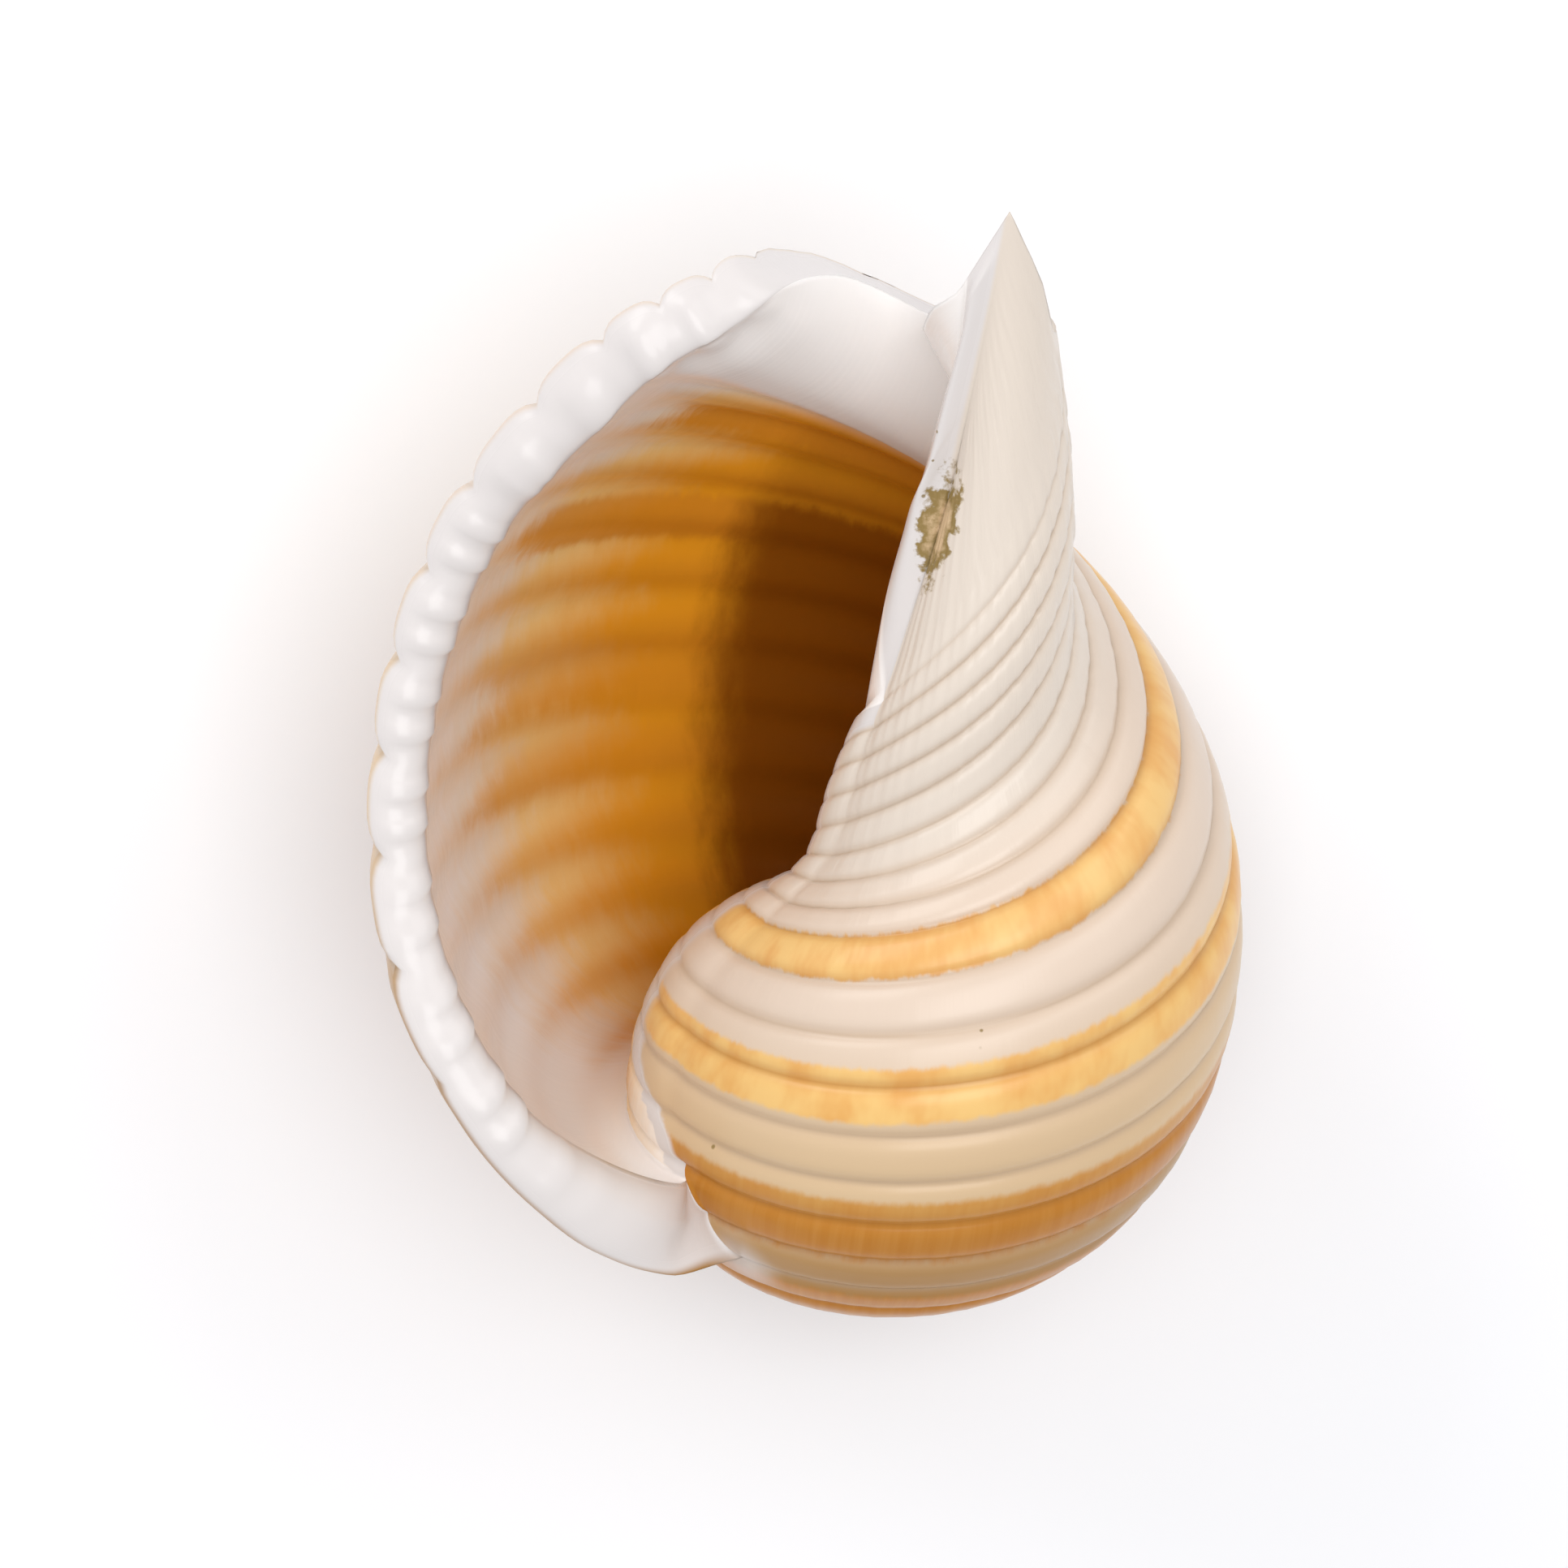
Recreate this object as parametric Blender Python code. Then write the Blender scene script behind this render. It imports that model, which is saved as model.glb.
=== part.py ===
"""Banded tun shell: one hollow coiled shell with ribs, a toothed outer lip and a twisted columella.

The shell is an equiangular spiral. One outline of the whorl, the profile, turns about the
shell's axis and grows by the same share for each degree. A place on the shell is its angle about
the axis and its distance along the profile, measured from the seam with the whorl before it.
The mesh has four parts that share their edges: the ribbed skin, the narrow spire with the same
ribs, the strip round the opening, and the inside wall that winds back into the whorl. The shell is
then laid on its back with the opening up, and planed flat where it rests.

Every length below is in millimetres and every angle in degrees.
"""
import math

import bpy
import numpy as np

MM = 0.001

# Spiral: growth per radian, and the turn after which a whorl's seam meets the one before
GROWTH = 0.1208
WHORL_TURN = 330.0

# Outline of the last whorl at angle 0, as (radius, height above the tip of the spire)
PROFILE = [(15.5, 12.3), (20.0, 15.4), (23.4, 19.6), (25.8, 25.0), (26.9, 31.0), (26.9, 37.0),
           (25.8, 43.0), (23.4, 49.0), (19.8, 53.9), (15.4, 57.9), (12.2, 60.3), (10.3, 62.9),
           (9.3, 66.8), (8.8, 71.2), (7.6, 77.2), (5.7, 84.4), (3.6, 92.0), (1.6, 99.6),
           (0.8, 105.0)]
SEAM_START = (11.2, 10.0)

# Ribs, from the shoulder to the base, and the height of their crests above the grooves
RIB_WIDTHS = [4.5] * 4 + [4.75] * 6 + [5.1, 4.4, 3.1, 3.2, 3.1, 3.7, 3.7, 3.5, 3.3, 3.0, 2.9]
RIB_RISE = [(0, 0.34), (10, 0.42), (55, 0.42), (62, 0.36), (90, 0.30)]
RIB_SQUARENESS = 3.5

# Places along the profile: seam of the next whorl, canal notch, tip, and the two ends of the
# inner lip on the whorl that it lies on
SEAM_AT = 18.0
NOTCH_AT = 71.0
TIP_AT = 108.43
JOIN_AT = 82.6
CORNER_AT = 26.075

# Edge of the outer lip and front edge of the last whorl, as (place along the profile, angle)
LIP_EDGE = [(0, 244), (8, 230), (18, 214), (28, 197), (37.5, 189), (47, 185), (53.5, 185),
            (59, 187), (64, 180), (68, 150), (NOTCH_AT, 106), (73, 96), (77.5, 80), (82, 54),
            (86, 31), (89, 21), (96, 10), (104, -10), (TIP_AT, -25)]
WHORL_EDGE = [(SEAM_AT, -116), (22.75, -126), (28, -134), (37.5, -143), (47, -145.5),
              (53.5, -145), (59, -143), (64, -140), (70, -137), (77, -134), (84, -131),
              (97, -131), (TIP_AT, -131)]

# Outer lip: outward flare, depth of its thick bead on the inside, and height of its front
WALL = 2.0
FLARE = [(0, 1.6), (6, 2.0), (13, 1.4), (28, 0.8), (47, 2.1), (59, 3.9), (66, 3.1),
         (NOTCH_AT, 0.4), (76, 0.0), (TIP_AT, 0.0)]
FLARE_TURN = 42.0
BEAD_DEPTH = [(0, 3.6), (13, 3.5), (28, 3.2), (46, 1.8), (52, 0.6), (59, -2.2), (66, -1.6),
              (NOTCH_AT, 0.9)]
BEAD_FRONT = [(0, 1.5), (8, 1.8), (48, 1.8), (60, 0.8), (66, 0.45), (NOTCH_AT, 0.1)]
CREASE_BACK = 1.2
CREASE_SHARE = [(2, -0.4), (16, 1.0), (46, 1.0), (56, 0.0)]
TOOTH_RISE = 0.75
TOOTH_PLACES = (0.31, 0.69)
TOOTH_HALF_WIDTH = 0.085
BEAD_BLEND = 22.0

# Inner lip, as (share of the way, radius, angle, height): canal side, then columella side
CANAL_EDGE = [(0.3, 7.2, 125, 86.6), (0.6, 4.4, 147, 90.2), (0.84, 2.2, 170, 92.6),
              (1.0, 1.7, 180, 93.8)]
SHIELD_EDGE = [(0.12, 1.5, 180, 92.0), (0.25, 1.45, 180, 90.0), (0.4, 1.7, 180, 87.0),
               (0.5, 2.05, 180, 84.3), (0.6, 2.4, 180, 81.2), (0.7, 2.8, 180, 77.5),
               (0.76, 3.35, 180, 75.2), (0.82, 3.65, 180, 72.6), (0.9, 4.25, 188, 68.2),
               (0.95, 4.7, 205, 64.6)]
SHIELD_ROLL = 0.9
SHIELD_ROLL_ANGLE = -112.0
TIP_DIP = 0.9
GLAZE = 0.8

# Corner of the opening at the seam, rounded with this point of the profile plane
CORNER_ROUND_AT = 7.0
CORNER_ROUND = (14.2, 13.1)

# Rest: the shell is rolled about its own axis, the axis is raised from level and turned from +Y
# towards +X, and the tip of the spire stands at this place. What would lie below height 0 is
# planed off as the flat spot that the shell rests on.
AXIS_ROLL = -9.6
AXIS_RAISED = 28.8
AXIS_TURN = 2.1
APEX_PLACE = (5.52, -43.70, 12.93)

# Mesh steps
COLUMNS = 33
SPIRE_COLUMNS = 108
STRIP_COLUMNS = 5
ROWS_PER_RIB = (0.0, 0.3, 0.7)
TIP_ROWS = (85.5, 90.0, 95.5, 102.0, TIP_AT)
DEPTHS = [9, 20, 33] + list(range(48, 410, 20))
SHARP_ANGLE = 40.0


def smooth_step(x):
    x = np.clip(x, 0, 1)
    return x * x * (3 - 2 * x)


def table(rows, at):
    """Straight-line reading of a short (place, value) list."""
    places, values = zip(*rows)
    return np.interp(at, places, values)


def natural_spline(x, y, at):
    """Cubic spline through the points (x, y), with straight ends, read at the given places."""
    x = np.asarray(x, float)
    y = np.asarray(y, float)
    at = np.asarray(at, float)
    count = len(x)
    step = np.diff(x)
    matrix = np.eye(count)
    right = np.zeros_like(y)
    for i in range(1, count - 1):
        matrix[i, i - 1:i + 2] = step[i - 1], 2 * (step[i - 1] + step[i]), step[i]
        right[i] = 3 * ((y[i + 1] - y[i]) / step[i] - (y[i] - y[i - 1]) / step[i - 1])
    curve = np.linalg.solve(matrix, right)
    i = np.clip(np.searchsorted(x, at) - 1, 0, count - 2)
    shape = at.shape + (1,) * (y.ndim - 1)
    width = step[i].reshape(shape)
    past = (at - x[i]).reshape(shape)
    slope = (y[i + 1] - y[i]) / width - width * (2 * curve[i] + curve[i + 1]) / 3
    return y[i] + slope * past + curve[i] * past ** 2 + (curve[i + 1] - curve[i]) / (3 * width) * past ** 3


def steady_curve(rows, at):
    """Smooth curve through a list of (place, values...) that never overshoots between points."""
    rows = np.array(rows, float)
    x, y = rows[:, 0], rows[:, 1:]
    step = np.diff(x)[:, None]
    rise = np.diff(y, axis=0) / step
    slope = np.zeros_like(y)
    slope[0], slope[-1] = rise[0], rise[-1]
    same = rise[:-1] * rise[1:] > 0
    before = np.where(same, rise[:-1], 1.0)
    after = np.where(same, rise[1:], 1.0)
    weight_a, weight_b = 2 * step[1:] + step[:-1], step[1:] + 2 * step[:-1]
    slope[1:-1] = np.where(same, (weight_a + weight_b) / (weight_a / before + weight_b / after), 0.0)
    at = np.clip(np.asarray(at, float), x[0], x[-1])
    i = np.clip(np.searchsorted(x, at) - 1, 0, len(x) - 2)
    u = (at - x[i])[..., None] / step[i]
    out = ((2 * u ** 3 - 3 * u ** 2 + 1) * y[i] + (u ** 3 - 2 * u ** 2 + u) * step[i] * slope[i]
           + (3 * u ** 2 - 2 * u ** 3) * y[i + 1] + (u ** 3 - u ** 2) * step[i] * slope[i + 1])
    return out[..., 0] if out.shape[-1] == 1 else out


def profile_knots():
    """Profile points with their distance along it. The first is set so that the profile starts
    exactly where the whorl before, one turn smaller, has its seam."""
    start = np.array(SEAM_START)
    for _ in range(12):
        points = np.vstack([start, np.array(PROFILE)])
        along = np.r_[0, np.cumsum(np.hypot(*np.diff(points, axis=0).T))]
        seam = natural_spline(along, points, np.array([SEAM_AT]))[0]
        start = seam * math.exp(-GROWTH * 2 * math.pi)
    return along, points


PROFILE_ALONG, PROFILE_POINTS = profile_knots()
RIB_EDGES = np.r_[0.0, np.cumsum(RIB_WIDTHS)]


def growth_frame(s):
    """Profile point at place s, with the outward normal and the direction of growth there, as
    (radial, around, up) parts at angle 0."""
    r, z = np.moveaxis(natural_spline(PROFILE_ALONG, PROFILE_POINTS, s), -1, 0)
    tiny = 0.02
    ahead = natural_spline(PROFILE_ALONG, PROFILE_POINTS, s + tiny)
    behind = natural_spline(PROFILE_ALONG, PROFILE_POINTS, s - tiny)
    dr, dz = np.moveaxis((ahead - behind) / (2 * tiny), -1, 0)
    normal = np.stack([r * dz, GROWTH * (z * dr - r * dz), -r * dr], -1)
    growth = np.stack([GROWTH * r, r, GROWTH * z], -1)
    along = np.stack([dr, 0 * dr, dz], -1)
    normal /= np.linalg.norm(normal, axis=-1)[..., None]
    along /= np.linalg.norm(along, axis=-1)[..., None]
    growth = growth - (growth * along).sum(-1)[..., None] * along
    growth /= np.linalg.norm(growth, axis=-1)[..., None]
    return r, z, normal, growth


def turned(radius, angle, height, offset=(0.0, 0.0, 0.0)):
    """Point at a radius and height, with an offset (radial, around, up), turned to an angle."""
    cos, sin = np.cos(angle), np.sin(angle)
    out = radius + offset[0]
    parts = np.broadcast_arrays(out * cos - offset[1] * sin, out * sin + offset[1] * cos, height + offset[2])
    return np.stack(parts, -1)


def on_whorl(angle, s, out=0.0, ahead=0.0):
    """Point on the whorl's plain surface, moved out along its normal and ahead along growth."""
    angle, s, out, ahead = np.broadcast_arrays(*[np.asarray(v, float) for v in (angle, s, out, ahead)])
    r, z, normal, growth = growth_frame(s)
    size = np.exp(GROWTH * angle)
    offset = normal * out[..., None] + growth * ahead[..., None]
    return turned(r * size, angle, z * size, np.moveaxis(offset, -1, 0))


def lip_angle(s):
    return np.radians(steady_curve(LIP_EDGE, s))


def start_angle(s):
    """Angle at which the last whorl's skin starts: one whorl back on the shoulder, and along the
    inner lip below it."""
    return np.where(s <= SEAM_AT, lip_angle(s) - math.radians(WHORL_TURN),
                    np.radians(steady_curve(WHORL_EDGE, s)))


def place_in_rib(s):
    i = np.clip(np.searchsorted(RIB_EDGES, s + 1e-9, side="right") - 1, 0, len(RIB_WIDTHS) - 1)
    return np.clip((s - RIB_EDGES[i]) / np.array(RIB_WIDTHS)[i], 0, 1)


def rib_relief(angle, s):
    """Height of the ribs over the plain surface: flat-topped cords with narrow grooves."""
    cord = 0.5 - np.abs(2 * place_in_rib(s) - 1) ** RIB_SQUARENESS
    fade = smooth_step((RIB_EDGES[-1] + 1.5 - s) / 10.0) * smooth_step((s + 1.0) / 4.0)
    return cord * fade * table(RIB_RISE, s) * np.exp(GROWTH * angle)


def lip_flare(angle, s):
    x = np.clip(1 - (lip_angle(s) - angle) / math.radians(FLARE_TURN), 0, 1)
    return steady_curve(FLARE, s) * x * x * smooth_step(s / 4.0)


def skin(angle, s):
    return on_whorl(angle, s, rib_relief(angle, s) + lip_flare(angle, s))


def bead(s, across):
    """Rounded front of the outer lip: across is 0 on its outer edge and 1 in the crease inside.
    Each rib ends in a pair of teeth."""
    s, across = np.broadcast_arrays(np.asarray(s, float), np.asarray(across, float))
    angle = lip_angle(s)
    high = rib_relief(angle, s) + lip_flare(angle, s)
    low = -steady_curve(BEAD_DEPTH, s)
    turn = math.pi * across
    out = (high + low) / 2 + (high - low) / 2 * np.cos(turn)
    ahead = table(BEAD_FRONT, s) * np.sin(turn) ** 0.75
    ahead = ahead - CREASE_BACK * across ** 4 * table(CREASE_SHARE, s)
    x = place_in_rib(s)
    pair = sum(np.exp(-((x - place) / TOOTH_HALF_WIDTH) ** 2) for place in TOOTH_PLACES)
    toothed = smooth_step((s - 12) / 8.0) * smooth_step((62 - s) / 6.0)
    inside = smooth_step((across - 0.22) / 0.25) * smooth_step((1.02 - across) / 0.12)
    tooth = TOOTH_RISE * pair * toothed * inside
    return on_whorl(angle, s, out - tooth * 0.5 * smooth_step((across - 0.35) / 0.3), ahead + tooth)


def cylinder_place(point):
    return math.hypot(point[0], point[1]), math.degrees(math.atan2(point[1], point[0])) % 360, point[2]


def inner_edge_knots():
    """Knots of the inner lip, joined to the notch at one end and to the whorl at the other."""
    notch = cylinder_place(bead(NOTCH_AT, 1.0))
    angle = start_angle(np.array(JOIN_AT))
    join = cylinder_place(on_whorl(angle, JOIN_AT, rib_relief(angle, np.array(JOIN_AT))))
    canal = [(0.0,) + notch] + CANAL_EDGE
    shield = [(0.0,) + CANAL_EDGE[-1][1:]] + SHIELD_EDGE + [(1.0,) + join]
    return canal, shield


CANAL_KNOTS, SHIELD_KNOTS = inner_edge_knots()


def inner_edge(p):
    """Radius, angle and height of the inner lip: p is 1 at the notch, 2 at the tip, 3 where the
    lip joins the whorl."""
    canal = steady_curve(CANAL_KNOTS, np.clip(p - 1, 0, 1))
    shield = steady_curve(SHIELD_KNOTS, np.clip(p - 2, 0, 1))
    return np.where((p < 2)[..., None], canal, shield)


def inside_outer_wall(s, depth):
    angle = lip_angle(s) - np.radians(depth)
    near = np.exp(-depth / BEAD_BLEND)
    wall = WALL * np.exp(GROWTH * (angle - math.radians(190)))
    thickness = wall * (1 - near) + steady_curve(BEAD_DEPTH, s) * near
    return on_whorl(angle, s, -thickness, -CREASE_BACK * near * table(CREASE_SHARE, s))


def inside_columella(p, depth):
    radius, angle, height = np.moveaxis(inner_edge(p), -1, 0)
    back = np.radians(depth)
    size = np.exp(-GROWTH * back)
    return turned(radius * size, np.radians(angle) - back, height * size)


def inside_whorl_before(p, depth):
    s = np.clip(JOIN_AT - (JOIN_AT - CORNER_AT) * (p - 3), CORNER_AT, JOIN_AT)
    angle = start_angle(s) - np.radians(depth)
    glaze = GLAZE * (1 - np.exp(-depth / 7.0)) * np.exp(GROWTH * (angle + math.radians(135)))
    return on_whorl(angle, s, glaze + rib_relief(angle, s) * np.exp(-depth / 14.0))


def inside(p, depth):
    """Inside wall: p runs once round the opening (0 at the seam corner, 0 to 1 outer wall, 1 to 3
    columella, 3 to 4 the whorl before), and depth is the angle that the wall has wound inwards."""
    p, depth = np.broadcast_arrays(np.asarray(p, float) % 4, np.asarray(depth, float))
    wall = inside_outer_wall(np.clip(NOTCH_AT * p, CORNER_ROUND_AT, NOTCH_AT), depth)
    points = np.where((p < 1)[..., None], wall, inside_columella(p, depth))
    points = np.where((p >= 3)[..., None], inside_whorl_before(p, depth), points)
    angle = lip_angle(np.array(CORNER_ROUND_AT)) - np.radians(depth)
    size = np.exp(GROWTH * angle)
    pull = turned(CORNER_ROUND[0] * size, angle, CORNER_ROUND[1] * size)
    seam = inside_whorl_before(np.full(p.shape, 4.0), depth)
    u = np.clip(p * NOTCH_AT / CORNER_ROUND_AT, 0, 1)[..., None]
    corner = (1 - u) ** 2 * seam + 2 * u * (1 - u) * pull + u ** 2 * wall
    return np.where((p * NOTCH_AT < CORNER_ROUND_AT)[..., None], corner, points)


def row_places():
    """Rows of the mesh along the profile: the same few places in each rib, then the smooth tip."""
    rows = [edge + width * share for edge, width in zip(RIB_EDGES, RIB_WIDTHS[:-1]) for share in ROWS_PER_RIB]
    return np.array(rows + [RIB_EDGES[-2]] + list(TIP_ROWS))


def strip_points(rows, side, seat, notch_row):
    """Strip from the skin's edge to the inner edge of the opening: a straight line across for each
    point of the edge, with the bead's bulge on the lip, the seat on the whorl at the seam, a dip
    along the tip, and the rounded roll of the columella's shield."""
    last = len(rows) - 1
    step = np.arange(len(side))
    s = rows[np.minimum(step, last)]
    across = np.arange(STRIP_COLUMNS + 1) / STRIP_COLUMNS
    f = across[None, :, None]
    on_tip = np.clip((s - NOTCH_AT) / (TIP_AT - NOTCH_AT), 0, 1)
    on_shield = np.clip((step - last) / COLUMNS, 0, 1)
    p = np.where(step < notch_row, s / NOTCH_AT, 1 + on_tip + on_shield)
    radius, angle, height = np.moveaxis(inner_edge(np.maximum(p, 1)), -1, 0)
    lip = bead(np.minimum(s, NOTCH_AT)[:, None], across[None, :])
    bulge = lip - (lip[:, :1] * (1 - f) + lip[:, -1:] * f)
    seat_bulge = seat - (seat[:1] * (1 - f[0]) + seat[-1:] * f[0])
    off_seat = smooth_step((s - 2) / 12.0)[:, None]
    inner = np.where((step < notch_row)[:, None], seat[-1] * (1 - off_seat) + lip[:, -1] * off_seat,
                     turned(radius, np.radians(angle), height))
    off_seat = off_seat[..., None]
    keep = (1 - smooth_step(on_tip / 0.1))[:, None, None]
    points = side[:, None] * (1 - f) + inner[:, None] * f + (1 - off_seat) * seat_bulge
    points = points + bulge * keep * (off_seat + (1 - off_seat) * smooth_step(s / 10.0)[:, None, None])
    dip = (step <= last) * TIP_DIP * smooth_step(on_tip / 0.15) * (1 - smooth_step((on_tip - 0.6) / 0.4))
    points[..., 2] -= dip[:, None] * 4 * across * (1 - across)
    roll = SHIELD_ROLL * smooth_step(on_shield / 0.15) * (1 - 0.3 * smooth_step((on_shield - 0.7) / 0.3))
    roll = roll * (1 - smooth_step((on_shield - 0.9) / 0.1))
    shape = natural_spline([0, 0.2, 0.4, 0.6, 0.8, 1.0], [0, 0.22, 0.62, 1.0, 0.9, 0.0], across)
    aim = math.radians(SHIELD_ROLL_ANGLE)
    points = points + (roll[:, None] * shape)[..., None] * np.array([math.cos(aim), math.sin(aim), 0])
    return points, p


def stations():
    """Places round the opening at which the inside wall has its lines, closer towards the notch."""
    outer_wall = np.r_[0.0, CORNER_ROUND_AT / 2, np.linspace(CORNER_ROUND_AT, 52, 10),
                       np.linspace(55.5, NOTCH_AT - 0.01, 7)]
    return np.concatenate([outer_wall / NOTCH_AT, [1.1, 1.3, 1.65, 2.0], np.linspace(2.35, 2.95, 4),
                           np.linspace(3.1, 3.93, 11)])


def zip_rings(ring_a, place_a, ring_b, place_b):
    """Triangles between two point rows of different counts, taken in the order of their places."""
    faces = []
    i = j = 0
    while i < len(ring_a) - 1 or j < len(ring_b) - 1:
        end_b = j == len(ring_b) - 1
        if end_b or (i < len(ring_a) - 1 and place_a[i + 1] - place_b[j] <= place_b[j + 1] - place_a[i]):
            faces.append((ring_b[j], ring_a[i + 1], ring_a[i]))
            i += 1
        else:
            faces.append((ring_b[j], ring_b[j + 1], ring_a[i]))
            j += 1
    return faces


def quads(index):
    """Faces of a grid of point numbers, without the cells that have a missing corner."""
    cells = np.stack([index[:-1, :-1], index[1:, :-1], index[1:, 1:], index[:-1, 1:]], -1).reshape(-1, 4)
    return [tuple(cell) for cell in cells[(cells >= 0).all(1)].tolist()]


class ShellMesh:
    """Points and faces of the shell, in the shell's own frame, gathered part by part."""

    def __init__(self):
        self.points = np.zeros((0, 3))
        self.faces = []

    def add(self, points):
        first = len(self.points)
        self.points = np.vstack([self.points, points.reshape(-1, 3)])
        return np.arange(first, len(self.points)).reshape(points.shape[:-1])

    def add_skin(self, rows, seam_row):
        """Skin of the last whorl and the spire. A whorl's first row is the seam row one whorl back."""
        columns = np.arange(-SPIRE_COLUMNS, COLUMNS + 1)
        share = columns[:, None] / COLUMNS
        angle = start_angle(rows) + (lip_angle(rows) - start_angle(rows)) * share
        points = skin(angle, np.broadcast_to(rows, angle.shape))
        used = np.ones(angle.shape, bool)
        used[columns < 0, seam_row + 1:] = False
        shared = columns - COLUMNS >= -SPIRE_COLUMNS
        used[shared, 0] = False
        index = np.full(angle.shape, -1)
        index[used] = self.add(points[used])
        index[shared, 0] = index[:-COLUMNS, seam_row]
        self.faces += quads(index)
        return index

    def add_apex(self, index, seam_row):
        """Fan that closes the first, smallest whorl."""
        hole = list(index[:COLUMNS, 0]) + list(index[0, seam_row:0:-1])
        rim = self.points[hole]
        tip = rim.mean(0)
        tip[2] = rim[:, 2].min() - 0.15
        apex = int(self.add(tip[None])[0])
        self.faces += [(int(after), int(before), apex) for before, after in zip(hole, hole[1:] + hole[:1])]

    def add_strip(self, rows, index, seam_row):
        """Strip round the opening, from the skin's edge inwards. Returns its inner ring."""
        last = len(rows) - 1
        whorl = index[SPIRE_COLUMNS:]
        side = np.r_[whorl[COLUMNS], whorl[COLUMNS - 1::-1, last]]
        seat = whorl[0, seam_row:seam_row + STRIP_COLUMNS + 1]
        join = whorl[0, last - STRIP_COLUMNS:][::-1]
        notch_row = int(np.argmin(abs(rows - NOTCH_AT)))
        points, p = strip_points(rows, self.points[side], self.points[seat], notch_row)
        strip = np.full(points.shape[:2], -1)
        strip[1:-1, 1:] = self.add(points[1:-1, 1:])
        strip[:, 0] = side
        strip[0] = seat
        strip[-1] = join
        self.faces += quads(strip[:-1].T)
        for a, b, c, d in quads(strip[-2:].T):
            self.faces += [(a, b, d), (b, c, d)]
        rest = np.arange(last - STRIP_COLUMNS - 1, seam_row + STRIP_COLUMNS, -1)
        ring = np.r_[strip[:, -1], whorl[0, rest]]
        p[0], p[-1] = 0.0, 3.0
        return ring, np.r_[p, 3 + (JOIN_AT - rows[rest]) / (JOIN_AT - CORNER_AT)]

    def add_inside(self, ring, ring_places):
        """Inside wall, wound inwards from the strip's inner ring, and the end that closes it."""
        p = stations()
        lines = self.add(inside(p[None], np.array(DEPTHS, float)[:, None]))
        first = list(lines[0]) + [lines[0, 0]]
        self.faces += zip_rings(list(ring) + [ring[0]], np.r_[ring_places, ring_places[0] + 4],
                                first, np.r_[p, p[0] + 4])
        closed = np.hstack([lines, lines[:, :1]])
        self.faces += quads(closed)
        end = lines[-1]
        half = int((p <= 1.05).sum())
        outer_side = list(end[:half])
        inner_side = [end[0]] + list(end[:half - 2:-1])
        caps = zip_rings(outer_side, np.linspace(0, 1, len(outer_side)),
                         inner_side, np.linspace(0, 1, len(inner_side)))
        self.faces += [cap for cap in caps if len(set(cap)) == 3]


def lay_down(points):
    """Turns the shell from its own frame, axis up, to its rest: on its back with the opening up."""
    roll, raised, turn = np.radians([AXIS_ROLL, AXIS_RAISED, AXIS_TURN])
    axis = np.array([math.sin(turn) * math.cos(raised), math.cos(turn) * math.cos(raised), math.sin(raised)])
    level = np.array([math.cos(turn), -math.sin(turn), 0.0])
    under = np.cross(axis, level)
    right = level * math.cos(roll) + under * math.sin(roll)
    laid = points @ np.array([right, np.cross(axis, right), axis]) + np.array(APEX_PLACE)
    laid[:, 2] = np.maximum(laid[:, 2], 0.0)
    return laid


def build_shell():
    rows = row_places()
    seam_row = int(np.argmin(abs(rows - SEAM_AT)))
    mesh = ShellMesh()
    index = mesh.add_skin(rows, seam_row)
    mesh.add_apex(index, seam_row)
    ring, ring_places = mesh.add_strip(rows, index, seam_row)
    mesh.add_inside(ring, ring_places)
    faces = [tuple(int(corner) for corner in face) for face in mesh.faces]
    return lay_down(mesh.points) * MM, faces


def shell_material():
    material = bpy.data.materials.new("banded_porcelain")
    material.use_nodes = True
    surface = material.node_tree.nodes["Principled BSDF"]
    surface.inputs["Base Color"].default_value = (0.80, 0.66, 0.50, 1.0)
    surface.inputs["Roughness"].default_value = 0.32
    surface.inputs["Metallic"].default_value = 0.0
    return material


def main():
    for old in list(bpy.data.objects):
        bpy.data.objects.remove(old, do_unlink=True)
    points, faces = build_shell()
    mesh = bpy.data.meshes.new("shell")
    mesh.from_pydata(points.tolist(), [], faces)
    mesh.materials.append(shell_material())
    mesh.shade_smooth()
    mesh.set_sharp_from_angle(angle=math.radians(SHARP_ANGLE))
    shell = bpy.data.objects.new("shell", mesh)
    bpy.context.scene.collection.objects.link(shell)


main()
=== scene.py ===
"""Banded tun shell: the finished surface of the shell, with its colours and gloss, on a pale floor.

The shell is one thing that grew as one piece, so it is one object. Its surface is an equiangular
spiral: one outline, the profile, turns about the shell's axis and grows by the same share for each
degree. The lengths in the spiral's tables are millimetres and its angles degrees.
"""
import math

import bpy
import numpy as np
from mathutils import Matrix


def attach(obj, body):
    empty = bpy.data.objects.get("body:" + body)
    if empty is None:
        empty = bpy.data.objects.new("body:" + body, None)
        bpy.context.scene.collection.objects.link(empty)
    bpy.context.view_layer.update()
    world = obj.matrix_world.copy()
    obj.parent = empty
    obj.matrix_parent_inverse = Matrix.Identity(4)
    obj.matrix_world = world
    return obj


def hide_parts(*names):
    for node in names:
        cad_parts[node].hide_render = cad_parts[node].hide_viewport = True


bl_info = {
    "name": "Banded Tun Shell",
    "version": (1, 0, 0),
    "blender": (4, 5, 0),
    "location": "View3D > Sidebar > Tun Shell",
    "description": "Builds a ribbed sea-snail shell with coloured bands and a toothed lip",
    "category": "Add Mesh",
}

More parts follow.
